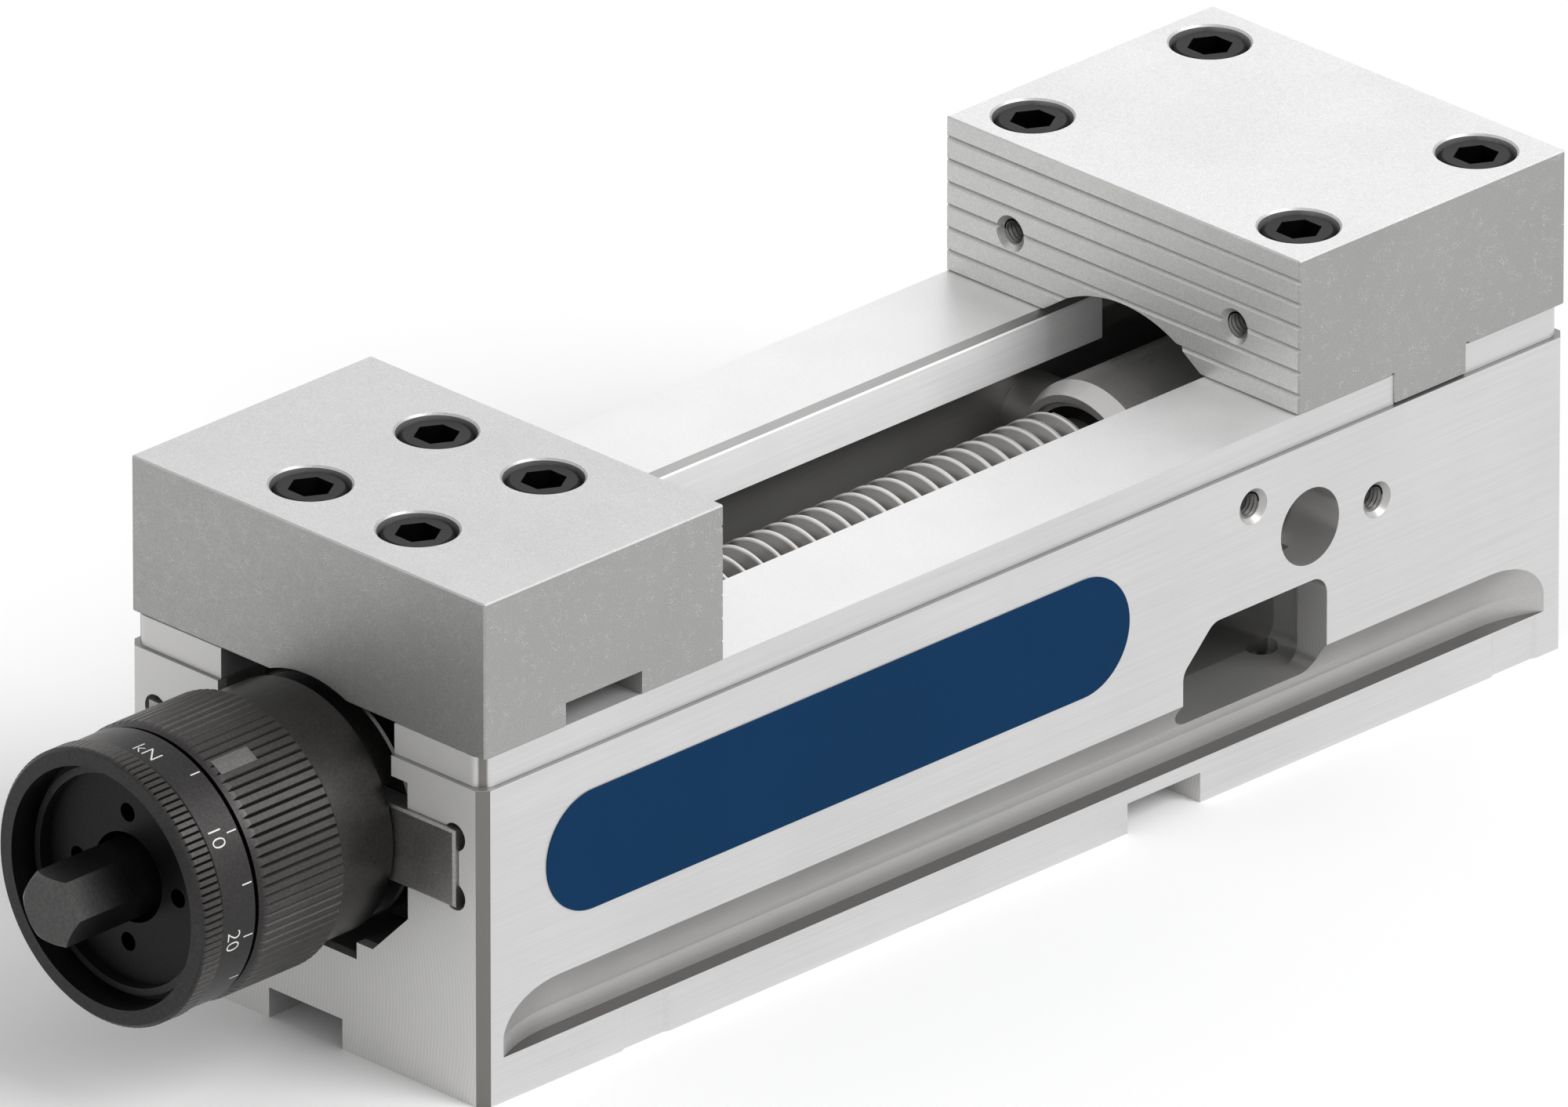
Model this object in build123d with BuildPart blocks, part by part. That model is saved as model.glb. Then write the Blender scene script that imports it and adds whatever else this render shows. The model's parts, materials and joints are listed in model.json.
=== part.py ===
from build123d import *
import os
from math import cos, radians, sin, sqrt

# Machine vise: a T-slotted base with a bolted fixed jaw, a moving jaw on a guided carriage,
# an axially held lead screw, and a front head with a grip sleeve and a clamping-force dial.
# Millimetres. X across, Y from the drive end to the fixed jaw, Z up.
# The origin is where the two keyways cross, in the plane that the base stands on.

# Base body
body_width = 121.0
body_length = 370.0
keyway_setback = 231.0
rail_thickness = 8.0
rail_inset = 1.1
rail_corner_radius = 4.0
corner_chamfer = 2.5
keyway_width = 25.0
keyway_depth = 8.0

# T-slot and the chamber below it
slot_width = 52.0
slot_edge_chamfer = 1.9
slot_end_wall = 20.0
flange_thickness = 13.5
chamber_width = 70.0
chamber_depth = 31.2
chamber_bevel = 12.0
drain_width = 35.0
drain_depth = 4.5
slot_relief = 3.5
front_relief_length = 20.0
rear_relief_start = 297.0

# Lead screw line
axis_height = 61.2
shoulder_rise = 22.3
thread_radius = 18.0
thread_pitch = 6.0

# Chip windows in both flanks
window_start = 237.5
window_end = 287.0
window_drop = 14.6
window_height = 26.6
window_bevel = 10.5
window_radius = 5.0
window_wall = 10.0
window_relief = 5.0
window_drain_radius = 4.0
window_drain_place = (39.0, 286.3)

# Clamping grooves along both flanks
groove_floor = 11.7
groove_top = 27.6
groove_depth = 4.8
groove_start = 6.7
groove_end = 362.4
groove_straight = 5.3
groove_cutter_radius = 40.0
groove_arc_share = 0.72
groove_arc_rise = 10.6
pad_depth = 0.6
pad_slope = 1.5
pad_height = 11.0
pad_length = 16.0
front_pad = 46.6
rear_pad = 344.0

# Tapped holes: M8 for accessories
m8_core_radius = 3.4
m8_sink_radius = 4.7
m8_depth = 16.0
m8_short_depth = 8.0
side_hole_wall = 9.5
rear_side_hole_setback = 304.1
rear_side_hole_drop = 0.5
front_side_hole_setback = 261.4
front_side_hole_rise = 11.7

# Jaws
jaw_inset = 0.5
jaw_height = 41.0
jaw_edge_chamfer = 0.4
moving_jaw_setback = 1.2
moving_jaw_length = 80.4
fixed_jaw_setback = 277.4
fixed_jaw_length = 92.0
serration_start = 5.57
serration_pitch = 6.05
serration_count = 6
serration_depth = 0.8
serration_reach = 0.1
jaw_hole_edge = 22.0
jaw_hole_height = 16.7
closed_gap = 0.4

# Fixed jaw tongue and the arch over the screw
tongue_setback = 310.8
tongue_length = 24.3
tongue_gap = 0.7
tongue_relief_radius = 0.8
arch_foot = 27.3
arch_shoulder = 19.0
arch_shoulder_height = 5.6
arch_height = 10.4

# Moving jaw groove for the carriage's cross tongue
cross_tongue_setback = 28.4
cross_tongue_length = 25.4
cross_tongue_height = 6.2

# Jaw screws: M12 cap screws
screw_radius = 6.0
screw_head_radius = 9.0
screw_head_height = 12.0
screw_head_chamfer = 0.8
screw_socket_flats = 10.0
screw_socket_depth = 6.5
screw_tip_chamfer = 1.5
fixed_screw_length = 45.0
moving_screw_stop = 18.4
tapped_reserve = 2.0
screw_sunk = 0.9
counterbore_radius = 10.0
counterbore_chamfer = 0.5
clearance_hole_radius = 6.75
fixed_screw_edge = 14.8
fixed_screw_spacing_y = 61.2
fixed_screw_front = 14.9
moving_screw_edge = 7.8
moving_screw_spacing_y = 42.2

# Carriage, its wipers and the nut
slide_clearance = 0.1
carriage_setback = 14.0
carriage_length = 59.0
carriage_underside_gap = 3.5
wiper_thickness = 1.5
wiper_bore_gap = 0.3
nut_radius = 22.0
nut_front_setback = 9.2
nut_length = 36.6
nut_ring_thickness = 4.0
nut_ring_wall = 2.8
nut_shoulder = 3.6
nut_shoulder_rise = 2.0
nut_chamfer = 1.0
carriage_rear_gap = 0.4

# Fits, and how far a cut runs past its face
fit_gap = 0.05
overcut = 1.0
running_gap = 0.3

# Spindle housing and the two keys that hold it in the base
neck_radius = 32.5
neck_front = -20.8
neck_chamfer = 0.6
groove_radius = 24.0
groove_front = -1.8
groove_rear = 5.3
rear_flange_radius = 31.7
rear_flange_rear = 11.5
retainer_setback = 8.3
retainer_height = 20.2
retainer_proud = 1.5
retainer_end_gap = 0.1
retainer_relief_radius = 3.6
retainer_relief_shift = 1.3
retainer_relief_reach = 2.3
retainer_chamfer = 0.6
neck_jaw_gap = 0.8
thrust_shoulder = -6.0
thrust_washer_thickness = 1.5
thrust_bore_radius = 27.05
needle_radius = 1.45
needle_length = 5.0
needle_count = 18
washer_bore_gap = 0.6
washer_rim_gap = 0.2
cage_thickness = 1.2

# Lead screw
collar_radius = 26.0
collar_front = -17.0
thread_end = 257.0
thread_end_chamfer = 1.5
tail_radius = 14.0
tail_end = 269.0
pilot_radius = 9.0
pilot_length = 11.5

# Drive shaft
hex_flats = 17.0
hex_front = -85.3
hex_face_chamfer = 1.2
hex_corner_room = 0.4
shaft_shoulder = -50.2
shaft_radius = 12.0
flange_front = -24.0
flange_rear = -18.2
key_width = 6.0
key_sink = 3.0
key_rise = 2.8
key_length = 5.0
key_setback = 0.4
ball_radius = 3.0
ball_circle_radius = 20.0
ball_count = 6
ball_gap = 0.1

# Disc springs
disc_count = 6
disc_thickness = 2.0
disc_dish = 1.1
disc_outer = 24.5
disc_inner = 12.6
disc_stack_gap = 0.1

# Grip sleeve and dial
knurl_radius = 35.2
knurl_groove = 0.55
knurl_lip = 0.9
knurl_cutter_reach = 0.2
sleeve_front = -49.0
sleeve_web = 6.0
sleeve_lip_length = 2.4
sleeve_bore = 29.0
sleeve_flutes = 88
sleeve_boss_radius = 31.0
dial_front = -68.0
dial_band_front = -61.0
dial_rear = -50.6
dial_band_radius = 34.7
dial_cup_radius = 30.6
dial_ring_radius = 28.8
dial_ring_wall = 1.8
dial_ring_rise = 3.0
dial_flutes = 120
face_disc_front = -59.0
face_disc_bore = 11.5
pin_hole_radius = 2.4
pin_hole_circle_radius = 17.0
pin_hole_depth = 5.0
pin_hole_count = 4

# Rear support and cross bolt
support_radius = 22.7
support_front = 262.0
support_length = 68.0
support_chamfer = 5.2
support_chamfer_rise = 2.3
support_mouth_radius = 18.6
support_mouth_depth = 1.5
rear_bush_wall = 3.0
rear_bush_length = 5.5
rear_bush_room = 0.6
bolt_setback = 281.0
bolt_radius = 10.0
bolt_left_sunk = 2.5
bolt_right_sunk = 16.5
bolt_chamfer = 1.0

# Side label
label_start = 21.2
label_length = 197.6
label_height = 31.3
label_drop = 26.5
label_thickness = 0.3

# Derived places
body_front = -keyway_setback
body_rear = body_front + body_length
body_middle = body_front + body_length / 2
body_side = body_width / 2
shoulder_height = axis_height + shoulder_rise
rail_top = shoulder_height + rail_thickness
rail_side = body_side - rail_inset
flange_underside = rail_top - flange_thickness
chamber_side = chamber_width / 2
chamber_floor = axis_height - chamber_depth
window_top = axis_height - window_drop
window_floor = window_top - window_height
side_hole_depth = body_side - chamber_side - side_hole_wall
slot_rear = body_rear - slot_end_wall
jaw_width = body_width - 2 * jaw_inset
jaw_side = jaw_width / 2
jaw_top = rail_top + jaw_height
moving_jaw_front = body_front + moving_jaw_setback
moving_jaw_rear = moving_jaw_front + moving_jaw_length
fixed_jaw_front = body_front + fixed_jaw_setback
fixed_jaw_rear = fixed_jaw_front + fixed_jaw_length
jaw_travel = fixed_jaw_front - moving_jaw_rear - closed_gap
counterbore_depth = screw_head_height + screw_sunk
screw_grip = jaw_height - counterbore_depth
tapped_radius = screw_radius + fit_gap
moving_screw_length = screw_grip + rail_top - axis_height - moving_screw_stop
fixed_screw_spacing_x = jaw_width - 2 * fixed_screw_edge
moving_screw_spacing_x = slot_width - 2 * moving_screw_edge
jaw_hole_spacing = jaw_width - 2 * jaw_hole_edge
carriage_rear = carriage_setback + carriage_length
nut_front = carriage_setback + nut_front_setback
nut_rear = nut_front + nut_length
retainer_front = -retainer_proud
retainer_reach = body_side - retainer_setback
retainer_rear = groove_rear - running_gap
ball_line = (flange_rear + collar_front) / 2
fixed_screw_centre = fixed_jaw_front + fixed_screw_front + fixed_screw_spacing_y / 2
moving_screw_centre = moving_jaw_front + moving_jaw_length / 2

spindle_axis = Axis((0, 0, axis_height), (0, 1, 0))
turning_plane = Plane(origin=(0, body_front, axis_height), x_dir=(0, 1, 0), z_dir=(1, 0, 0))


def across(y):
    """Plane that faces the drive end, at y behind the base's front face; extrude with a minus sign."""
    return Plane(origin=(0, body_front + y, 0), x_dir=(1, 0, 0), z_dir=(0, -1, 0))


def on_axis(y):
    """The same plane as across(y), with its origin on the screw's axis."""
    return Plane(origin=(0, body_front + y, axis_height), x_dir=(1, 0, 0), z_dir=(0, -1, 0))


def turned(outline):
    """Face of a turned piece: outline holds (distance behind the base's front, radius) points."""
    with BuildSketch(turning_plane) as section:
        with BuildLine():
            Polyline(*outline, close=True)
        make_face()
    return section.sketch


def chamber_face(y, gap, top, floor):
    """Section of the chamber below the T-slot, smaller by gap, between two heights."""
    side = chamber_side - gap
    bevel = chamber_bevel - gap * (sqrt(2) - 1)
    with BuildSketch(across(y)) as section:
        with BuildLine():
            Polyline(
                (-side, top),
                (side, top),
                (side, floor + bevel),
                (side - bevel, floor),
                (bevel - side, floor),
                (-side, floor + bevel),
                close=True,
            )
        make_face()
    return section.sketch


def screw_face_points(spacing_x, spacing_y):
    """Grid of four screw places about a jaw's own centre."""
    return GridLocations(spacing_x, spacing_y, 2, 2)


def jaw_hole_points():
    """The two places of a jaw's plate holes, on a plane across Y whose origin is in the base plane."""
    return Locations(
        (-jaw_hole_spacing / 2, rail_top + jaw_hole_height),
        (jaw_hole_spacing / 2, rail_top + jaw_hole_height),
    )


def flute_face(y, flutes):
    """Ring of V-flutes at the knurled radius, to be cut into a turned piece."""
    half_angle = 90 / flutes
    with BuildSketch(on_axis(y)) as section:
        with PolarLocations(0, flutes):
            Polygon(
                (knurl_radius - knurl_groove, 0),
                (
                    (knurl_radius + knurl_cutter_reach) * cos(radians(half_angle)),
                    (knurl_radius + knurl_cutter_reach) * sin(radians(half_angle)),
                ),
                (
                    (knurl_radius + knurl_cutter_reach) * cos(radians(half_angle)),
                    -(knurl_radius + knurl_cutter_reach) * sin(radians(half_angle)),
                ),
                align=None,
            )
    return section.sketch


# Base body: one casting with the rails, the T-slot, the keyways and the side grooves
with BuildPart() as base_body:
    with BuildSketch(Plane.XY):
        with Locations((0, body_middle)):
            Rectangle(body_width, body_length)
        chamfer(vertices(), corner_chamfer)
    extrude(amount=shoulder_height)
    with BuildSketch(Plane.XY.offset(shoulder_height)):
        with Locations((0, body_middle)):
            Rectangle(2 * rail_side, body_length - 2 * rail_inset)
        fillet(vertices(), rail_corner_radius)
    extrude(amount=rail_thickness)

    # Chamber under the rails, its drain and the slot between the rails
    extrude(
        chamber_face(-overcut, 0, flange_underside, chamber_floor),
        amount=-(body_length - slot_end_wall + overcut),
        mode=Mode.SUBTRACT,
    )
    with BuildSketch(across(-overcut)):
        with Locations((0, chamber_floor)):
            Rectangle(drain_width, 2 * drain_depth)
    extrude(amount=-(body_length - slot_end_wall + overcut), mode=Mode.SUBTRACT)
    with BuildSketch(across(-overcut)):
        with BuildLine():
            Polyline(
                (-slot_width / 2, flange_underside - overcut),
                (slot_width / 2, flange_underside - overcut),
                (slot_width / 2, rail_top - slot_edge_chamfer),
                (slot_width / 2 + slot_edge_chamfer + overcut, rail_top + overcut),
                (-slot_width / 2 - slot_edge_chamfer - overcut, rail_top + overcut),
                (-slot_width / 2, rail_top - slot_edge_chamfer),
                close=True,
            )
        make_face()
    extrude(amount=-(body_length - slot_end_wall + overcut), mode=Mode.SUBTRACT)
    for relief_start, relief_end in (
        (-overcut, front_relief_length),
        (rear_relief_start, body_length - slot_end_wall),
    ):
        with BuildSketch(across(relief_start)):
            with Locations((0, flange_underside - overcut)):
                Rectangle(
                    slot_width + 2 * slot_relief,
                    flange_thickness + 2 * overcut,
                    align=(Align.CENTER, Align.MIN),
                )
        extrude(amount=relief_start - relief_end, mode=Mode.SUBTRACT)

    # Seat of the fixed jaw's tongue across the rails
    with BuildSketch(Plane.YZ.offset(-body_side)):
        with Locations((body_front + tongue_setback - fit_gap, shoulder_height)):
            Rectangle(tongue_length + 2 * fit_gap, rail_thickness + overcut, align=Align.MIN)
    extrude(amount=body_width, mode=Mode.SUBTRACT)

    # Keyways along and across the underside
    with BuildSketch(Plane.XY):
        with Locations((0, body_middle)):
            Rectangle(keyway_width, body_length)
        Rectangle(body_width, keyway_width)
    extrude(amount=keyway_depth, mode=Mode.SUBTRACT)

    # Pockets for the retaining keys, with relieved corners
    with BuildSketch(on_axis(-overcut)):
        Rectangle(2 * (retainer_reach + retainer_end_gap), retainer_height + 2 * fit_gap)
        with GridLocations(
            2 * (retainer_reach + retainer_relief_reach - retainer_relief_radius),
            retainer_height - 2 * (retainer_relief_radius - retainer_relief_shift),
            2,
            2,
        ):
            Circle(retainer_relief_radius)
    extrude(amount=-(retainer_rear + overcut), mode=Mode.SUBTRACT)

    # Chip windows through both flanks, wider behind the wall
    with BuildSketch(Plane.YZ.offset(-body_side)):
        with BuildLine():
            Polyline(
                (body_front + window_start, window_floor),
                (body_front + window_end, window_floor),
                (body_front + window_end, window_top),
                (body_front + window_start + window_bevel, window_top),
                (body_front + window_start, window_top - window_bevel),
                close=True,
            )
        make_face()
        fillet(vertices(), window_radius)
    extrude(amount=body_width, mode=Mode.SUBTRACT)
    with BuildSketch(Plane.YZ.offset(window_wall - body_side)):
        with Locations((body_front + (window_start + window_end) / 2, window_floor)):
            Rectangle(
                window_end - window_start + 2 * window_relief,
                window_top - window_floor + window_relief,
                align=(Align.CENTER, Align.MIN),
            )
        fillet(vertices(), window_radius)
    extrude(amount=body_width - 2 * window_wall, mode=Mode.SUBTRACT)
    with Locations((window_drain_place[0], body_front + window_drain_place[1], window_floor)):
        Hole(window_drain_radius, depth=window_floor)

    # Clamping grooves, run out at both ends by the radius of their cutter
    groove_run = sqrt(groove_cutter_radius**2 - (groove_cutter_radius - groove_depth) ** 2)
    cutter_line = body_side - groove_depth + groove_cutter_radius
    for end in (groove_start + groove_run, groove_end - groove_run):
        with BuildSketch(across(end)) as groove_section:
            with BuildLine():
                Polyline(
                    (body_side + overcut, groove_floor),
                    (body_side - groove_depth, groove_floor),
                    (body_side - groove_depth, groove_floor + groove_straight),
                )
                ThreePointArc(
                    (body_side - groove_depth, groove_floor + groove_straight),
                    (body_side - groove_depth * groove_arc_share, groove_floor + groove_arc_rise),
                    (body_side, groove_top),
                )
                Polyline(
                    (body_side, groove_top),
                    (body_side + overcut, groove_top),
                    (body_side + overcut, groove_floor),
                )
            make_face()
        revolve(
            axis=Axis((cutter_line, body_front + end, 0), (0, 0, 1)),
            mode=Mode.SUBTRACT,
        )
    extrude(
        groove_section.sketch,
        amount=groove_end - groove_start - 2 * groove_run,
        mode=Mode.SUBTRACT,
    )
    for pad_start in (front_pad, rear_pad):
        with BuildSketch(Plane.XY):
            with Locations((0, body_front + pad_start)):
                Polygon(
                    (body_side + overcut, 0),
                    (body_side, 0),
                    (body_side - pad_depth, pad_slope),
                    (body_side - pad_depth, pad_length - pad_slope),
                    (body_side, pad_length),
                    (body_side + overcut, pad_length),
                    align=None,
                )
        extrude(amount=pad_height, mode=Mode.SUBTRACT)
    split(bisect_by=Plane.YZ, keep=Keep.TOP)
    mirror(about=Plane.YZ)

    # Cross bores for the bolt, and the tapped holes in the label flank
    with Locations(Plane.YZ.offset(body_side)):
        with Locations((body_front + bolt_setback, axis_height)):
            Hole(bolt_radius + fit_gap)
        with Locations(
            (body_front + rear_side_hole_setback, axis_height - rear_side_hole_drop),
            (body_front + front_side_hole_setback, axis_height + front_side_hole_rise),
        ):
            CounterSinkHole(m8_core_radius, m8_sink_radius, depth=side_hole_depth)

    # Tapped holes for the fixed jaw's screws
    with Locations((0, fixed_screw_centre, rail_top)):
        with screw_face_points(fixed_screw_spacing_x, fixed_screw_spacing_y):
            Hole(tapped_radius, depth=fixed_screw_length - screw_grip + tapped_reserve)
base_body.part.label = "base_body"


def jaw_blank(front, length):
    """Bevelled block of a jaw, from its front face and its length."""
    with BuildPart() as blank:
        with BuildSketch(Plane.XY.offset(rail_top)):
            with Locations((0, front + length / 2)):
                Rectangle(jaw_width, length)
        extrude(amount=jaw_height)
        chamfer(blank.edges(), jaw_edge_chamfer)
    return blank.part


def serration_face(face_y, inward):
    """V-grooves of a gripping face, as triangles on a plane across X."""
    with BuildSketch(Plane.YZ.offset(-jaw_side)) as grooves:
        for step in range(serration_count):
            height = jaw_top - serration_start - step * serration_pitch
            with BuildLine():
                Polyline(
                    (face_y - inward * serration_reach, height - serration_depth),
                    (face_y + inward * serration_depth, height),
                    (face_y - inward * serration_reach, height + serration_depth),
                    close=True,
                )
            make_face()
    return grooves.sketch


# Fixed jaw, keyed to the base by a tongue and arched over the screw
with BuildPart() as fixed_jaw:
    add(jaw_blank(fixed_jaw_front, fixed_jaw_length))
    with BuildSketch(Plane.YZ.offset(-jaw_side)):
        with Locations((body_front + tongue_setback, shoulder_height + tongue_gap)):
            Rectangle(tongue_length, rail_thickness + overcut, align=Align.MIN)
    extrude(amount=jaw_width)
    with BuildSketch(Plane.YZ.offset(-jaw_side)):
        with Locations(
            (body_front + tongue_setback - tongue_relief_radius, rail_top),
            (body_front + tongue_setback + tongue_length + tongue_relief_radius, rail_top),
        ):
            Circle(tongue_relief_radius)
    extrude(amount=jaw_width, mode=Mode.SUBTRACT)
    with BuildSketch(across(fixed_jaw_setback - overcut)):
        with BuildLine():
            Polyline(
                (arch_shoulder, rail_top + arch_shoulder_height),
                (arch_foot, rail_top),
                (arch_foot, shoulder_height - overcut),
                (-arch_foot, shoulder_height - overcut),
                (-arch_foot, rail_top),
                (-arch_shoulder, rail_top + arch_shoulder_height),
            )
            ThreePointArc(
                (-arch_shoulder, rail_top + arch_shoulder_height),
                (0, rail_top + arch_height),
                (arch_shoulder, rail_top + arch_shoulder_height),
            )
        make_face()
    extrude(amount=-(fixed_jaw_length + 2 * overcut), mode=Mode.SUBTRACT)
    extrude(serration_face(fixed_jaw_front, 1), amount=jaw_width, mode=Mode.SUBTRACT)
    with Locations(across(fixed_jaw_setback)):
        with jaw_hole_points():
            CounterSinkHole(m8_core_radius, m8_sink_radius, depth=m8_short_depth)
    with Locations((0, fixed_screw_centre, jaw_top)):
        with screw_face_points(fixed_screw_spacing_x, fixed_screw_spacing_y):
            CounterBoreHole(clearance_hole_radius, counterbore_radius, counterbore_depth)
    mouths = fixed_jaw.edges().filter_by(GeomType.CIRCLE).group_by(Axis.Z)[-1]
    chamfer(mouths, counterbore_chamfer)
fixed_jaw.part.label = "fixed_jaw"

# Moving jaw, grooved for the carriage's tongue and relieved over the housing
with BuildPart() as moving_jaw:
    add(jaw_blank(moving_jaw_front, moving_jaw_length))
    with BuildSketch(Plane.YZ.offset(-jaw_side)):
        with Locations((body_front + cross_tongue_setback, rail_top)):
            Rectangle(
                cross_tongue_length + 2 * slide_clearance,
                cross_tongue_height + slide_clearance,
                align=(Align.MIN, Align.MIN),
            )
    extrude(amount=jaw_width, mode=Mode.SUBTRACT)
    with BuildSketch(on_axis(0)):
        Circle(neck_radius + neck_jaw_gap)
    extrude(amount=-carriage_setback, mode=Mode.SUBTRACT)
    extrude(serration_face(moving_jaw_rear, -1), amount=jaw_width, mode=Mode.SUBTRACT)
    with Locations(Plane(origin=(0, moving_jaw_rear, 0), x_dir=(-1, 0, 0), z_dir=(0, 1, 0))):
        with jaw_hole_points():
            CounterSinkHole(m8_core_radius, m8_sink_radius, depth=m8_depth)
    with Locations((0, moving_screw_centre, jaw_top)):
        with screw_face_points(moving_screw_spacing_x, moving_screw_spacing_y):
            CounterBoreHole(clearance_hole_radius, counterbore_radius, counterbore_depth)
    mouths = moving_jaw.edges().filter_by(GeomType.CIRCLE).group_by(Axis.Z)[-1]
    chamfer(mouths, counterbore_chamfer)
moving_jaw.part.label = "moving_jaw"


def cap_screw(length):
    """M12 cap screw with its head up and its bearing face at the origin."""
    with BuildPart() as screw:
        with BuildSketch(Plane.XY):
            Circle(screw_head_radius)
        extrude(amount=screw_head_height)
        chamfer(screw.faces().sort_by(Axis.Z)[-1].edges(), screw_head_chamfer)
        with BuildSketch(Plane.XY.offset(screw_head_height)):
            RegularPolygon(screw_socket_flats / 2, 6, major_radius=False)
        extrude(amount=-screw_socket_depth, mode=Mode.SUBTRACT)
        with BuildSketch(Plane.XY):
            Circle(screw_radius)
        extrude(amount=-length)
        chamfer(screw.faces().sort_by(Axis.Z)[0].edges(), screw_tip_chamfer)
    return screw.part


with BuildPart() as fixed_jaw_screws:
    with Locations((0, fixed_screw_centre, jaw_top - counterbore_depth)):
        with screw_face_points(fixed_screw_spacing_x, fixed_screw_spacing_y):
            add(cap_screw(fixed_screw_length))
fixed_jaw_screws.part.label = "fixed_jaw_screws"

with BuildPart() as moving_jaw_screws:
    with Locations((0, moving_screw_centre, jaw_top - counterbore_depth)):
        with screw_face_points(moving_screw_spacing_x, moving_screw_spacing_y):
            add(cap_screw(moving_screw_length))
moving_jaw_screws.part.label = "moving_jaw_screws"

# Carriage: fills the T-slot, carries the nut, and keys into the moving jaw
with BuildPart() as carriage:
    extrude(
        chamber_face(
            carriage_setback,
            slide_clearance,
            flange_underside - slide_clearance,
            chamber_floor + carriage_underside_gap,
        ),
        amount=-carriage_length,
    )
    with BuildSketch(across(carriage_setback)):
        with Locations((0, rail_top - slide_clearance)):
            Rectangle(
                slot_width - 2 * slide_clearance,
                flange_thickness,
                align=(Align.CENTER, Align.MAX),
            )
    extrude(amount=-carriage_length)
    with BuildSketch(across(cross_tongue_setback + slide_clearance)):
        with Locations((0, rail_top + cross_tongue_height - slide_clearance)):
            Rectangle(
                slot_width - 2 * slide_clearance,
                cross_tongue_height + slot_edge_chamfer,
                align=(Align.CENTER, Align.MAX),
            )
    extrude(amount=-cross_tongue_length)
    revolve(
        turned(
            [
                (carriage_setback - overcut, 0),
                (carriage_setback - overcut, nut_radius + fit_gap),
                (nut_rear + fit_gap, nut_radius + fit_gap),
                (nut_rear + fit_gap, nut_radius - nut_shoulder_rise),
                (nut_rear + nut_shoulder, nut_radius - nut_shoulder_rise),
                (nut_rear + nut_shoulder, support_radius + carriage_rear_gap),
                (carriage_rear + overcut, support_radius + carriage_rear_gap),
                (carriage_rear + overcut, 0),
            ]
        ),
        axis=spindle_axis,
        mode=Mode.SUBTRACT,
    )
    with Locations((0, moving_screw_centre, rail_top)):
        with screw_face_points(moving_screw_spacing_x, moving_screw_spacing_y):
            Hole(tapped_radius, depth=moving_screw_length - screw_grip + tapped_reserve)
carriage.part.label = "carriage"

# Wiper plate on the carriage's front, close round the screw
with BuildPart() as front_wiper:
    extrude(
        chamber_face(
            carriage_setback - wiper_thickness,
            slide_clearance,
            flange_underside - slide_clearance,
            chamber_floor + carriage_underside_gap,
        ),
        amount=-wiper_thickness,
    )
    with BuildSketch(across(carriage_setback - wiper_thickness)):
        with Locations((0, rail_top - slide_clearance)):
            Rectangle(
                slot_width - 2 * slide_clearance,
                flange_thickness,
                align=(Align.CENTER, Align.MAX),
            )
    extrude(amount=-wiper_thickness)
    with BuildSketch(on_axis(carriage_setback - wiper_thickness)):
        Circle(thread_radius + wiper_bore_gap)
    extrude(amount=-wiper_thickness, mode=Mode.SUBTRACT)
front_wiper.part.label = "front_wiper"

with BuildPart() as spindle_nut:
    revolve(
        turned(
            [
                (nut_front, thread_radius + 2 * fit_gap),
                (nut_front, nut_radius - nut_chamfer),
                (nut_front + nut_chamfer, nut_radius),
                (nut_rear, nut_radius),
                (nut_rear, thread_radius + 2 * fit_gap),
            ]
        ),
        axis=spindle_axis,
    )
spindle_nut.part.label = "spindle_nut"

# Ring nut that locks the spindle nut in its bore, turned by four slots
nut_ring_front = nut_front - fit_gap - nut_ring_thickness
with BuildPart() as nut_ring:
    revolve(
        turned(
            [
                (nut_ring_front, nut_radius - nut_ring_wall),
                (nut_ring_front, nut_radius),
                (nut_front - fit_gap, nut_radius),
                (nut_front - fit_gap, nut_radius - nut_ring_wall),
            ]
        ),
        axis=spindle_axis,
    )
    with BuildSketch(on_axis(nut_ring_front)):
        with PolarLocations(nut_radius, 4):
            Rectangle(nut_ring_wall, 2 * nut_ring_wall)
    extrude(amount=-nut_ring_thickness / 2, mode=Mode.SUBTRACT)
nut_ring.part.label = "nut_ring"

# Lead screw: a plain cylinder over the thread's crests, with a thrust collar and a tail journal
needle_line = thrust_shoulder - 2 * fit_gap - thrust_washer_thickness - needle_radius
front_washer_front = needle_line - needle_radius - fit_gap - thrust_washer_thickness
collar_rear = front_washer_front - fit_gap
with BuildPart() as lead_screw:
    revolve(
        turned(
            [
                (collar_front, pilot_radius + fit_gap),
                (collar_front, collar_radius),
                (collar_rear, collar_radius),
                (collar_rear, thread_radius),
                (thread_end - thread_end_chamfer, thread_radius),
                (thread_end, thread_radius - thread_end_chamfer),
                (thread_end, tail_radius),
                (tail_end, tail_radius),
                (tail_end, 0),
                (collar_front + pilot_length + overcut, 0),
                (collar_front + pilot_length + overcut, pilot_radius + fit_gap),
            ]
        ),
        axis=spindle_axis,
    )
    with Locations(on_axis(ball_line)):
        with PolarLocations(ball_circle_radius, ball_count):
            Sphere(ball_radius + ball_gap, mode=Mode.SUBTRACT)
lead_screw.part.label = "lead_screw"

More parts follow.
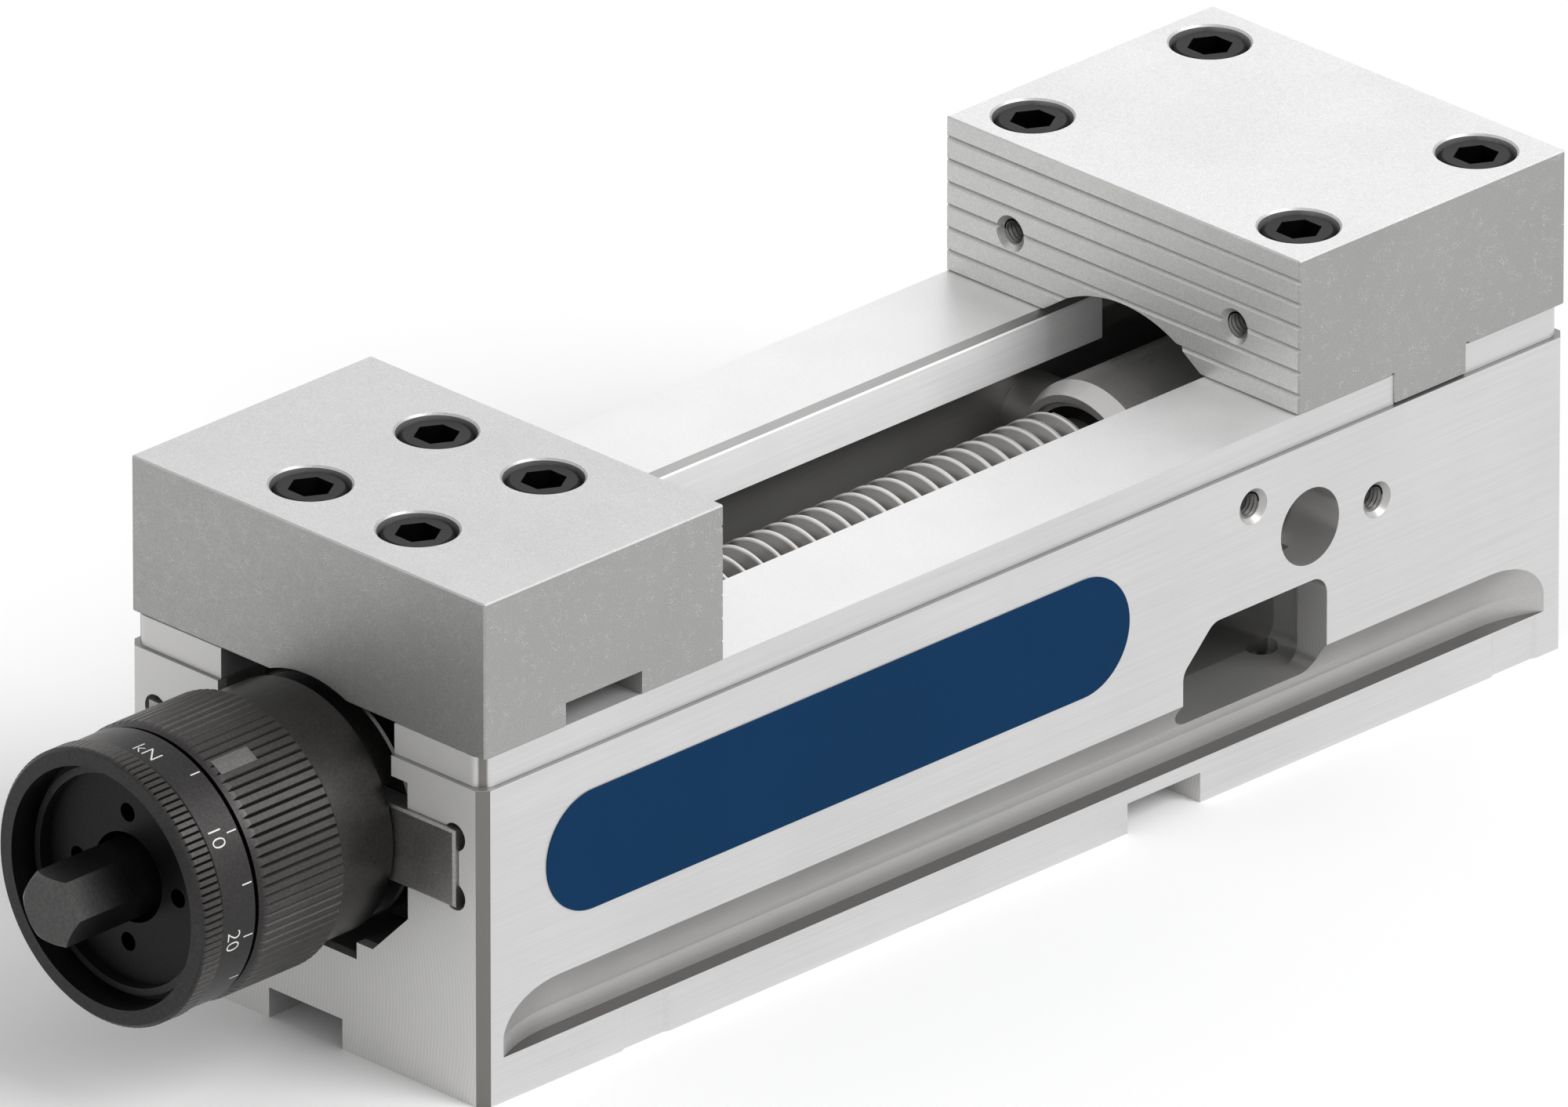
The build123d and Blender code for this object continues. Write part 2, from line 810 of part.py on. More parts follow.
# Drive shaft: hexagon for the crank, and the clutch flange behind it
with BuildPart() as drive_shaft:
    with BuildSketch(on_axis(hex_front)):
        RegularPolygon(hex_flats / 2, 6, major_radius=False)
    extrude(amount=hex_front - shaft_shoulder)
    hex_corner = hex_flats / 2 / cos(radians(30))
    with BuildPart(mode=Mode.PRIVATE) as nose:
        revolve(
            turned(
                [
                    (hex_front, 0),
                    (hex_front, hex_flats / 2),
                    (hex_front + hex_face_chamfer, hex_corner + hex_corner_room),
                    (shaft_shoulder, hex_corner + hex_corner_room),
                    (shaft_shoulder, 0),
                ]
            ),
            axis=spindle_axis,
        )
    add(nose.part, mode=Mode.INTERSECT)
    revolve(
        turned(
            [
                (shaft_shoulder, 0),
                (shaft_shoulder, shaft_radius),
                (flange_front, shaft_radius),
                (flange_front, collar_radius),
                (flange_rear, collar_radius),
                (flange_rear, pilot_radius),
                (collar_front + pilot_length, pilot_radius),
                (collar_front + pilot_length, 0),
            ]
        ),
        axis=spindle_axis,
    )
    with Locations(on_axis(ball_line)):
        with PolarLocations(ball_circle_radius, ball_count):
            Sphere(ball_radius + ball_gap, mode=Mode.SUBTRACT)
    with BuildSketch(on_axis(sleeve_front + key_setback)):
        with Locations((0, shaft_radius - key_sink)):
            Rectangle(
                key_width + 2 * fit_gap, key_sink + overcut, align=(Align.CENTER, Align.MIN)
            )
    extrude(amount=-(key_length + 2 * fit_gap), mode=Mode.SUBTRACT)
drive_shaft.part.label = "drive_shaft"

with BuildPart() as clutch_balls:
    with Locations(on_axis(ball_line)):
        with PolarLocations(ball_circle_radius, ball_count):
            Sphere(ball_radius)
clutch_balls.part.label = "clutch_balls"

with BuildPart() as drive_key:
    with BuildSketch(on_axis(sleeve_front + key_setback + fit_gap)):
        with Locations((0, shaft_radius - key_sink + fit_gap)):
            Rectangle(key_width, key_sink + key_rise, align=(Align.CENTER, Align.MIN))
    extrude(amount=-key_length)
drive_key.part.label = "drive_key"

# Disc springs, stacked cup to cup between the sleeve's web and the clutch flange
disc_pitch = disc_thickness + disc_dish + fit_gap
with BuildPart() as disc_springs:
    for disc in range(disc_count):
        near = sleeve_front + sleeve_web + disc_stack_gap + disc * disc_pitch
        inner_shift = disc_dish if disc % 2 else 0
        outer_shift = disc_dish - inner_shift
        revolve(
            turned(
                [
                    (near + inner_shift, disc_inner),
                    (near + outer_shift, disc_outer),
                    (near + outer_shift + disc_thickness, disc_outer),
                    (near + inner_shift + disc_thickness, disc_inner),
                ]
            ),
            axis=spindle_axis,
        )
disc_springs.part.label = "disc_springs"

# Grip sleeve: fluted outside, a cup over the springs inside, and a boss behind the dial
with BuildPart() as grip_sleeve:
    revolve(
        turned(
            [
                (dial_rear + running_gap, 0),
                (dial_rear + running_gap, sleeve_boss_radius),
                (sleeve_front, sleeve_boss_radius),
                (sleeve_front, knurl_radius - knurl_lip),
                (sleeve_front + sleeve_lip_length, knurl_radius),
                (neck_front - knurl_lip, knurl_radius),
                (neck_front, knurl_radius - knurl_lip),
                (neck_front, sleeve_bore),
                (sleeve_front + sleeve_web, sleeve_bore),
                (sleeve_front + sleeve_web, 0),
            ]
        ),
        axis=spindle_axis,
    )
    with BuildSketch(on_axis(dial_rear)):
        Circle(shaft_radius + fit_gap)
        with Locations((0, shaft_radius - key_sink)):
            Rectangle(
                key_width + 2 * fit_gap,
                key_sink + key_rise + 2 * fit_gap,
                align=(Align.CENTER, Align.MIN),
            )
    extrude(amount=-(sleeve_front + sleeve_web - dial_rear), mode=Mode.SUBTRACT)
    extrude(
        flute_face(sleeve_front, sleeve_flutes),
        amount=sleeve_front - neck_front,
        mode=Mode.SUBTRACT,
    )
grip_sleeve.part.label = "grip_sleeve"

# Force dial: fluted rim, plain band for the scale, and a cup round the hexagon
with BuildPart() as force_dial:
    revolve(
        turned(
            [
                (dial_front, dial_cup_radius),
                (dial_front, knurl_radius - knurl_lip),
                (dial_front + knurl_lip, knurl_radius),
                (dial_band_front - knurl_lip, knurl_radius),
                (dial_band_front, dial_band_radius),
                (dial_rear, dial_band_radius),
                (dial_rear, dial_ring_radius - dial_ring_wall),
                (face_disc_front - dial_ring_rise, dial_ring_radius - dial_ring_wall),
                (face_disc_front - dial_ring_rise, dial_ring_radius),
                (face_disc_front, dial_ring_radius),
                (face_disc_front, dial_cup_radius),
            ]
        ),
        axis=spindle_axis,
    )
    extrude(
        flute_face(dial_front, dial_flutes),
        amount=dial_front - dial_band_front,
        mode=Mode.SUBTRACT,
    )
force_dial.part.label = "force_dial"

# Face disc: the adjusting nut inside the dial, turned by four pin holes
with BuildPart() as face_disc:
    with BuildSketch(on_axis(face_disc_front)):
        Circle(dial_ring_radius - dial_ring_wall - fit_gap)
        Circle(face_disc_bore, mode=Mode.SUBTRACT)
    extrude(amount=face_disc_front - dial_rear)
    with BuildSketch(on_axis(face_disc_front)):
        with PolarLocations(pin_hole_circle_radius, pin_hole_count):
            Circle(pin_hole_radius)
    extrude(amount=-pin_hole_depth, mode=Mode.SUBTRACT)
face_disc.part.label = "face_disc"

# Spindle housing: the smooth neck, the groove for the retaining keys and the rear flange
with BuildPart() as spindle_housing:
    revolve(
        turned(
            [
                (neck_front, thrust_bore_radius),
                (neck_front, neck_radius - neck_chamfer),
                (neck_front + neck_chamfer, neck_radius),
                (groove_front - neck_chamfer, neck_radius),
                (groove_front, neck_radius - neck_chamfer),
                (groove_front, groove_radius),
                (groove_rear, groove_radius),
                (groove_rear, rear_flange_radius - neck_chamfer),
                (groove_rear + neck_chamfer, rear_flange_radius),
                (rear_flange_rear, rear_flange_radius),
                (rear_flange_rear, thread_radius + fit_gap),
                (thrust_shoulder, thread_radius + fit_gap),
                (thrust_shoulder, thrust_bore_radius),
            ]
        ),
        axis=spindle_axis,
    )
spindle_housing.part.label = "spindle_housing"

# Retaining keys: plates in the base's front pockets that reach into the housing's groove
with BuildPart() as right_retaining_key:
    with BuildSketch(on_axis(retainer_front)):
        Rectangle(
            retainer_reach,
            retainer_height,
            align=(Align.MIN, Align.CENTER),
        )
        Circle(groove_radius + running_gap, mode=Mode.SUBTRACT)
    extrude(amount=retainer_front - retainer_rear)
    chamfer(
        right_retaining_key.faces().sort_by(Axis.Y)[0].edges().filter_by(GeomType.LINE),
        retainer_chamfer,
    )
right_retaining_key.part.label = "right_retaining_key"

with BuildPart() as left_retaining_key:
    add(right_retaining_key.part.mirror(Plane.YZ))
left_retaining_key.part.label = "left_retaining_key"

# Needle thrust bearing behind the collar: two washers, a cage and its needles
washer_bore = thread_radius + washer_bore_gap
washer_outer = thrust_bore_radius - washer_rim_gap
needle_circle = (washer_bore + washer_outer) / 2
with BuildPart() as thrust_washers:
    for washer_front in (
        thrust_shoulder - fit_gap - thrust_washer_thickness,
        front_washer_front,
    ):
        with BuildSketch(on_axis(washer_front)):
            Circle(washer_outer)
            Circle(washer_bore, mode=Mode.SUBTRACT)
        extrude(amount=-thrust_washer_thickness)
thrust_washers.part.label = "thrust_washers"

with BuildPart() as thrust_needles:
    with Locations(on_axis(needle_line)):
        with PolarLocations(needle_circle, needle_count):
            Cylinder(needle_radius, needle_length, rotation=(0, 90, 0))
thrust_needles.part.label = "thrust_needles"

with BuildPart() as needle_cage:
    with BuildSketch(on_axis(needle_line - cage_thickness / 2)):
        Circle(washer_outer)
        Circle(washer_bore, mode=Mode.SUBTRACT)
        with PolarLocations(needle_circle, needle_count):
            Rectangle(
                needle_length + 4 * fit_gap,
                2 * needle_radius + 2 * fit_gap,
                mode=Mode.SUBTRACT,
            )
    extrude(amount=-cage_thickness)
needle_cage.part.label = "needle_cage"

# Rear support: carries the screw's tail, and is held in the base by the cross bolt
rear_bush_outer = tail_radius + fit_gap + rear_bush_wall
rear_seat = support_front + support_mouth_depth
with BuildPart() as rear_support:
    revolve(
        turned(
            [
                (support_front, support_mouth_radius),
                (support_front, support_radius - support_chamfer_rise),
                (support_front + support_chamfer, support_radius),
                (support_front + support_length, support_radius),
                (support_front + support_length, 0),
                (rear_seat + rear_bush_length + rear_bush_room, 0),
                (rear_seat + rear_bush_length + rear_bush_room, rear_bush_outer + fit_gap),
                (rear_seat, rear_bush_outer + fit_gap),
                (rear_seat, support_mouth_radius),
            ]
        ),
        axis=spindle_axis,
    )
    with Locations(Plane.YZ):
        with Locations((body_front + bolt_setback, axis_height)):
            Hole(bolt_radius + fit_gap)
rear_support.part.label = "rear_support"

with BuildPart() as rear_bush:
    revolve(
        turned(
            [
                (rear_seat + fit_gap, tail_radius + fit_gap),
                (rear_seat + fit_gap, rear_bush_outer),
                (rear_seat + rear_bush_length, rear_bush_outer),
                (rear_seat + rear_bush_length, tail_radius + fit_gap),
            ]
        ),
        axis=spindle_axis,
    )
rear_bush.part.label = "rear_bush"

with BuildPart() as cross_bolt:
    with BuildSketch(Plane.YZ.offset(bolt_left_sunk - body_side)):
        with Locations((body_front + bolt_setback, axis_height)):
            Circle(bolt_radius)
    extrude(amount=body_width - bolt_left_sunk - bolt_right_sunk)
    chamfer(cross_bolt.edges().filter_by(GeomType.CIRCLE), bolt_chamfer)
cross_bolt.part.label = "cross_bolt"

# Side label: a bare capsule-shaped film on the right flank
with BuildPart() as side_label:
    with BuildSketch(Plane.YZ.offset(body_side)):
        with Locations((body_front + label_start + label_length / 2, shoulder_height - label_drop)):
            SlotOverall(label_length, label_height)
    extrude(amount=label_thickness)
side_label.part.label = "side_label"

print("jaw travel", round(jaw_travel, 3), "mm;", round(jaw_travel / thread_pitch, 3), "turns")
print("body front", body_front, "rail top", rail_top, "jaw top", jaw_top)

os.makedirs("parts", exist_ok=True)
export_step(base_body.part, "parts/base_body.step")
export_step(fixed_jaw.part, "parts/fixed_jaw.step")
export_step(moving_jaw.part, "parts/moving_jaw.step")
export_step(fixed_jaw_screws.part, "parts/fixed_jaw_screws.step")
export_step(moving_jaw_screws.part, "parts/moving_jaw_screws.step")
export_step(carriage.part, "parts/carriage.step")
export_step(spindle_nut.part, "parts/spindle_nut.step")
export_step(nut_ring.part, "parts/nut_ring.step")
export_step(lead_screw.part, "parts/lead_screw.step")
export_step(drive_shaft.part, "parts/drive_shaft.step")
export_step(clutch_balls.part, "parts/clutch_balls.step")
export_step(drive_key.part, "parts/drive_key.step")
export_step(disc_springs.part, "parts/disc_springs.step")
export_step(grip_sleeve.part, "parts/grip_sleeve.step")
export_step(force_dial.part, "parts/force_dial.step")
export_step(face_disc.part, "parts/face_disc.step")
export_step(spindle_housing.part, "parts/spindle_housing.step")
export_step(right_retaining_key.part, "parts/right_retaining_key.step")
export_step(left_retaining_key.part, "parts/left_retaining_key.step")
export_step(front_wiper.part, "parts/front_wiper.step")
export_step(thrust_washers.part, "parts/thrust_washers.step")
export_step(thrust_needles.part, "parts/thrust_needles.step")
export_step(needle_cage.part, "parts/needle_cage.step")
export_step(rear_support.part, "parts/rear_support.step")
export_step(rear_bush.part, "parts/rear_bush.step")
export_step(cross_bolt.part, "parts/cross_bolt.step")
export_step(side_label.part, "parts/side_label.step")
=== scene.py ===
import json
import logging
import math
from dataclasses import dataclass, field
from enum import Enum

import bmesh
import bpy
import numpy as np
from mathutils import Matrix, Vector


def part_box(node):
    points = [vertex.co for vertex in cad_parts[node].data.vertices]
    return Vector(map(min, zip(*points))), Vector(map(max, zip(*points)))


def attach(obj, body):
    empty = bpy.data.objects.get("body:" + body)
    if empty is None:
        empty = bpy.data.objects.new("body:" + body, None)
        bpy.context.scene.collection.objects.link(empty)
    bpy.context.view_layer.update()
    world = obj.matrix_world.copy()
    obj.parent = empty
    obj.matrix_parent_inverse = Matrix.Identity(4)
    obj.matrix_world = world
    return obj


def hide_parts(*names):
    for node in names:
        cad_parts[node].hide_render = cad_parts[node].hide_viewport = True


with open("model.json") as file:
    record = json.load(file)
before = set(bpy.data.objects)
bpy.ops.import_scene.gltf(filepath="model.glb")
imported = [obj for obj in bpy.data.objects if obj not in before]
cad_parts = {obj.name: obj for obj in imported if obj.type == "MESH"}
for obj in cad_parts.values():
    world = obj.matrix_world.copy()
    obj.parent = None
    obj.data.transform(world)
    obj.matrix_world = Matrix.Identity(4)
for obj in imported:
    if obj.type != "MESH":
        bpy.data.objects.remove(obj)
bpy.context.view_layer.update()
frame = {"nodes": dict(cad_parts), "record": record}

LOG = logging.getLogger("machine_vise")
Colour = tuple[float, float, float]
Place = tuple[float, float, float]
Span = tuple[float, float]
Socket = bpy.types.NodeSocket
MM = 0.001
VECTOR, FLOAT = "NodeSocketVector", "NodeSocketFloat"

# Points of a new mesh nearer than this are one point, and edges shorter than this are dissolved
MERGE_DISTANCE = 0.002 * MM
SHORTEST_EDGE = 0.001 * MM

# Part of a noise's values that is stretched to 0 to 1
NOISE_SPAN = (0.3, 0.7)

# Places in the frame, in metres, read from the CAD nodes
BASE_LOW, BASE_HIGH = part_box("base_body")
AXIS_HEIGHT = (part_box("lead_screw")[0].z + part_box("lead_screw")[1].z) / 2
AXIS_POINT = Vector((0.0, BASE_LOW.y, AXIS_HEIGHT))

# Regions of the base, as the low and high limits of |x|, y and z, where shade and a highlight are
# painted: painted shade in the chamber below the rails, the windows and bores through the flanks,
# the clamping grooves and the narrow ledge below the rails, and a painted highlight on the ground
# faces between the rails
CHAMBER = (
    (-1.0, BASE_LOW.y + 3.0 * MM, 17.2 * MM),
    (37.5 * MM, BASE_HIGH.y - 0.5 * MM, 83.2 * MM),
)
WINDOWS = (
    (37.5 * MM, BASE_LOW.y + 231.0 * MM, 17.2 * MM),
    (60.45 * MM, BASE_LOW.y + 310.0 * MM, 78.0 * MM),
)
GROOVES = (
    (55.0 * MM, BASE_LOW.y + 6.0 * MM, 11.5 * MM),
    (60.45 * MM, BASE_LOW.y + 363.0 * MM, 27.7 * MM),
)
LEDGE = (
    (-1.0, BASE_LOW.y - 1.0 * MM, 83.35 * MM),
    (61.0 * MM, BASE_HIGH.y + 1.0 * MM, 83.65 * MM),
)
GUIDES = (
    (25.2 * MM, BASE_LOW.y + 0.5 * MM, 75.0 * MM),
    (26.4 * MM, BASE_HIGH.y - 0.5 * MM, 91.2 * MM),
)


class Facing(Enum):
    """Directions in the part's frame that a face can look to."""

    UP = (0.0, 0.0, 1.0)
    FRONT = (0.0, -1.0, 0.0)
    RIGHT_CORNER = (math.sqrt(0.5), -math.sqrt(0.5), 0.0)
    LEFT_CORNER = (-math.sqrt(0.5), -math.sqrt(0.5), 0.0)
    RIGHT_EDGE = (math.sqrt(0.5), 0.0, math.sqrt(0.5))
    LEFT_EDGE = (-math.sqrt(0.5), 0.0, math.sqrt(0.5))


class Lay(Enum):
    """Direction of a machined grain, as the stretch of its noise for each metre."""

    ALONG = (2600.0, 22.0, 2600.0)
    UPRIGHT = (2600.0, 2600.0, 30.0)
    CLOUD = (28.0, 28.0, 28.0)


class Graph:
    """Adds and links the nodes of one material or node group."""

    def __init__(self, tree: bpy.types.NodeTree) -> None:
        """Keeps the tree that the nodes go into."""
        self.tree = tree

    def add(self, kind: str, **settings: object) -> bpy.types.Node:
        """Adds a node.

        Args:
            kind: Blender's type name of the node.
            settings: properties of the node, such as operation.

        Returns:
            The new node.
        """
        node = self.tree.nodes.new(kind)
        for name, value in settings.items():
            setattr(node, name, value)
        return node

    def feed(self, socket: Socket, value: object) -> None:
        """Links a socket to an input, or writes a plain value to it.

        Args:
            socket: the input socket.
            value: another node's output, a number, or a tuple of numbers.
        """
        if isinstance(value, Socket):
            self.tree.links.new(value, socket)
        elif socket.type == "RGBA" and len(value) == 3:
            socket.default_value = (*value, 1.0)
        else:
            socket.default_value = value

    def math(self, operation: str, *values: object) -> Socket:
        """Adds a Math node.

        Args:
            operation: Blender's name of the operation.
            values: its inputs in order.

        Returns:
            The result.
        """
        node = self.add("ShaderNodeMath", operation=operation)
        for socket, value in zip(node.inputs, values):
            self.feed(socket, value)
        return node.outputs[0]

    def vector(self, operation: str, *values: object) -> bpy.types.Node:
        """Adds a Vector Math node.

        Args:
            operation: Blender's name of the operation.
            values: its inputs in order.

        Returns:
            The node, whose outputs are Vector and Value.
        """
        node = self.add("ShaderNodeVectorMath", operation=operation)
        for socket, value in zip(node.inputs, values):
            self.feed(socket, value)
        return node

    def blend(self, factor: object, first: object, second: object) -> Socket:
        """Mixes two colours.

        Args:
            factor: 0 gives the first colour and 1 the second.
            first: colour at 0.
            second: colour at 1.

        Returns:
            The mixed colour.
        """
        node = self.add("ShaderNodeMix", data_type="RGBA")
        self.feed(node.inputs["Factor"], factor)
        self.feed(node.inputs[6], first)
        self.feed(node.inputs[7], second)
        return node.outputs[2]

    def span(
        self, value: object, low: object, high: object, start: object, end: object
    ) -> Socket:
        """Maps a value from one range to another, held at both ends.

        Args:
            value: the value to map.
            low: start of its range.
            high: end of its range.
            start: result at low.
            end: result at high.

        Returns:
            The mapped value.
        """
        node = self.add("ShaderNodeMapRange")
        for socket, item in zip(node.inputs[:5], (value, low, high, start, end)):
            self.feed(socket, item)
        return node.outputs[0]

    def use(self, group: bpy.types.NodeTree, **values: object) -> bpy.types.Node:
        """Places a node group.

        Args:
            group: the group's tree.
            values: its inputs by name.

        Returns:
            The group node.
        """
        node = self.add("ShaderNodeGroup", node_tree=group)
        for name, value in values.items():
            self.feed(node.inputs[name], value)
        return node

    def get(self, group: bpy.types.NodeTree, **values: object) -> Socket:
        """Places a node group that has one output.

        Args:
            group: the group's tree.
            values: its inputs by name.

        Returns:
            Its output.
        """
        return self.use(group, **values).outputs[0]

    def noise(
        self, place: object, scale: object, detail: float = 2.0, roughness: float = 0.5
    ) -> Socket:
        """Adds a noise in space.

        Args:
            place: the coordinates.
            scale: its scale.
            detail: how many finer octaves it has.
            roughness: weight of the finer octaves.

        Returns:
            The noise.
        """
        node = self.add("ShaderNodeTexNoise")
        values = {"Vector": place, "Scale": scale, "Detail": detail, "Roughness": roughness}
        for name, value in values.items():
            self.feed(node.inputs[name], value)
        return node.outputs["Fac"]


def new_group(
    name: str, inputs: dict[str, str], outputs: dict[str, str]
) -> tuple[Graph, bpy.types.Node, bpy.types.Node]:
    """Starts a shader node group.

    Args:
        name: the group's name.
        inputs: socket type of each input by name.
        outputs: socket type of each output by name.

    Returns:
        The graph, its input node and its output node.
    """
    tree = bpy.data.node_groups.new(name, "ShaderNodeTree")
    for label, kind in inputs.items():
        tree.interface.new_socket(label, in_out="INPUT", socket_type=kind)
    for label, kind in outputs.items():
        tree.interface.new_socket(label, in_out="OUTPUT", socket_type=kind)
    graph = Graph(tree)
    return graph, graph.add("NodeGroupInput"), graph.add("NodeGroupOutput")


class SurfaceEffects:
    """The node groups that several finishes share, each built once."""

    # Size of the painted glints of a blasted surface, and the coarser noise that picks them
    glint_span: Span = (0.12, 0.3)
    chosen_span: Span = (0.5, 0.66)
    sparse_share: float = 0.13
    cutter_height: float = AXIS_HEIGHT * 0.3
    wander_scale: float = 90.0
    wander: float = 1.2 * MM

    def __init__(self) -> None:
        """Builds every group."""
        self.facing = self._facing()
        self.grain = self._grain()
        self.speckle = self._speckle()
        self.milling = self._milling()
        self.turning = self._turning()
        self.region = self._region()

    def faces(self, graph: Graph, normal: Socket, facing: Facing, limits: Span) -> Socket:
        """Places the mask of the faces that look one way.

        Args:
            graph: the material's graph.
            normal: the object's normal.
            facing: the way.
            limits: shares of the normal at which the mask is 0 and 1.

        Returns:
            The mask.
        """
        low, high = limits
        way = facing.value
        return graph.get(self.facing, Normal=normal, Direction=way, Low=low, High=high)

    def _region(self) -> bpy.types.NodeTree:
        """Mask of a box on both sides of X: 1 where |x|, y and z are inside their limits."""
        graph, given, result = new_group(
            "region_mask",
            {"Place": VECTOR, "Low": VECTOR, "High": VECTOR},
            {"Mask": FLOAT},
        )
        parts = [graph.add("ShaderNodeSeparateXYZ") for _ in range(3)]
        for node, name in zip(parts, ("Place", "Low", "High")):
            graph.feed(node.inputs[0], given.outputs[name])
        place = [graph.math("ABSOLUTE", parts[0].outputs[0]), *parts[0].outputs[1:]]
        mask = None
        for value, low, high in zip(place, parts[1].outputs, parts[2].outputs):
            above = graph.math("GREATER_THAN", value, low)
            inside = graph.math("MULTIPLY", above, graph.math("LESS_THAN", value, high))
            mask = inside if mask is None else graph.math("MULTIPLY", mask, inside)
        graph.feed(result.inputs["Mask"], mask)
        return graph.tree

    def _facing(self) -> bpy.types.NodeTree:
        """Mask of the faces that look one way: the normal's share on Direction, Low to High."""
        graph, given, result = new_group(
            "facing_mask",
            {"Normal": VECTOR, "Direction": VECTOR, "Low": FLOAT, "High": FLOAT},
            {"Mask": FLOAT},
        )
        normal, direction, low, high = given.outputs[:4]
        share = graph.vector("DOT_PRODUCT", normal, direction).outputs["Value"]
        graph.feed(result.inputs["Mask"], graph.span(share, low, high, 0.0, 1.0))
        return graph.tree

    def _grain(self) -> bpy.types.NodeTree:
        """Machined grain: noise stretched along its lay."""
        graph, given, result = new_group(
            "machined_grain",
            {"Place": VECTOR, "Stretch": VECTOR},
            {"Tone": FLOAT},
        )
        stretched = graph.vector("MULTIPLY", given.outputs["Place"], given.outputs["Stretch"])
        noise = graph.noise(stretched.outputs["Vector"], 1.0, detail=4.0, roughness=0.6)
        graph.feed(result.inputs["Tone"], graph.span(noise, *NOISE_SPAN, 0.0, 1.0))
        return graph.tree

    def _speckle(self) -> bpy.types.NodeTree:
        """Blasted surface: fine noise, with sparse painted glints where coarser noise peaks."""
        graph, given, result = new_group(
            "blasted_speckle",
            {"Place": VECTOR, "Density": FLOAT, "Sparkle": FLOAT},
            {"Tone": FLOAT, "Glints": FLOAT},
        )
        place, density = given.outputs["Place"], given.outputs["Density"]
        fine = graph.noise(place, density, detail=3.0)
        cells = graph.add("ShaderNodeTexVoronoi")
        graph.feed(cells.inputs["Vector"], place)
        graph.feed(cells.inputs["Scale"], density)
        sparse = graph.noise(place, graph.math("MULTIPLY", density, self.sparse_share))
        near = graph.span(cells.outputs["Distance"], *self.glint_span, 1.0, 0.0)
        glint_spots = graph.math("MULTIPLY", near, graph.span(sparse, *self.chosen_span, 0.0, 1.0))
        glints = graph.math("MULTIPLY", glint_spots, given.outputs["Sparkle"])
        graph.feed(result.inputs["Tone"], graph.span(fine, *NOISE_SPAN, 0.0, 1.0))
        graph.feed(result.inputs["Glints"], glints)
        return graph.tree

    def _milling(self) -> bpy.types.NodeTree:
        """Face-milled arcs: waves along X, set back by the cutter's circle.

        On one arc, x - sqrt(R^2 - (z - cutter_height)^2) is constant.
        """
        graph, given, result = new_group(
            "face_milled_arcs",
            {"Place": VECTOR, "Radius": FLOAT, "Pitch": FLOAT},
            {"Tone": FLOAT},
        )
        parts = graph.add("ShaderNodeSeparateXYZ")
        graph.feed(parts.inputs[0], given.outputs["Place"])
        square = graph.math("MULTIPLY", given.outputs["Radius"], given.outputs["Radius"])
        height = graph.math("SUBTRACT", parts.outputs["Z"], self.cutter_height)
        inside = graph.math("SUBTRACT", square, graph.math("MULTIPLY", height, height))
        reach = graph.math("SQRT", graph.math("MAXIMUM", inside, 0.0))
        line = graph.math("SUBTRACT", parts.outputs["X"], reach)
        noise = graph.noise(given.outputs["Place"], self.wander_scale)
        shifted = graph.math("ADD", line, graph.math("MULTIPLY", noise, self.wander))
        turns = graph.math("DIVIDE", shifted, given.outputs["Pitch"])
        wave = graph.math("SINE", graph.math("MULTIPLY", turns, 2 * math.pi))
        graph.feed(result.inputs["Tone"], graph.span(wave, -1.0, 1.0, 0.0, 1.0))
        return graph.tree

    def _turning(self) -> bpy.types.NodeTree:
        """Turned surface: the distance from the spindle's axis, and fine rings along the axis."""
        graph, given, result = new_group(
            "turned_rings",
            {"Place": VECTOR, "Rings": FLOAT},
            {"Radius": FLOAT, "Tone": FLOAT},
        )
        offset = graph.vector("SUBTRACT", given.outputs["Place"], tuple(AXIS_POINT))
        flat = graph.vector("MULTIPLY", offset.outputs["Vector"], (1.0, 0.0, 1.0))
        radius = graph.vector("LENGTH", flat.outputs["Vector"]).outputs["Value"]
        parts = graph.add("ShaderNodeSeparateXYZ")
        graph.feed(parts.inputs[0], offset.outputs["Vector"])
        along = graph.math("ADD", parts.outputs["Y"], radius)
        noise = graph.add("ShaderNodeTexNoise", noise_dimensions="1D")
        graph.feed(noise.inputs["W"], graph.math("MULTIPLY", along, given.outputs["Rings"]))
        graph.feed(noise.inputs["Scale"], 1.0)
        graph.feed(noise.inputs["Detail"], 3.0)
        graph.feed(result.inputs["Radius"], radius)
        graph.feed(result.inputs["Tone"], graph.span(noise.outputs["Fac"], *NOISE_SPAN, 0.0, 1.0))
        return graph.tree


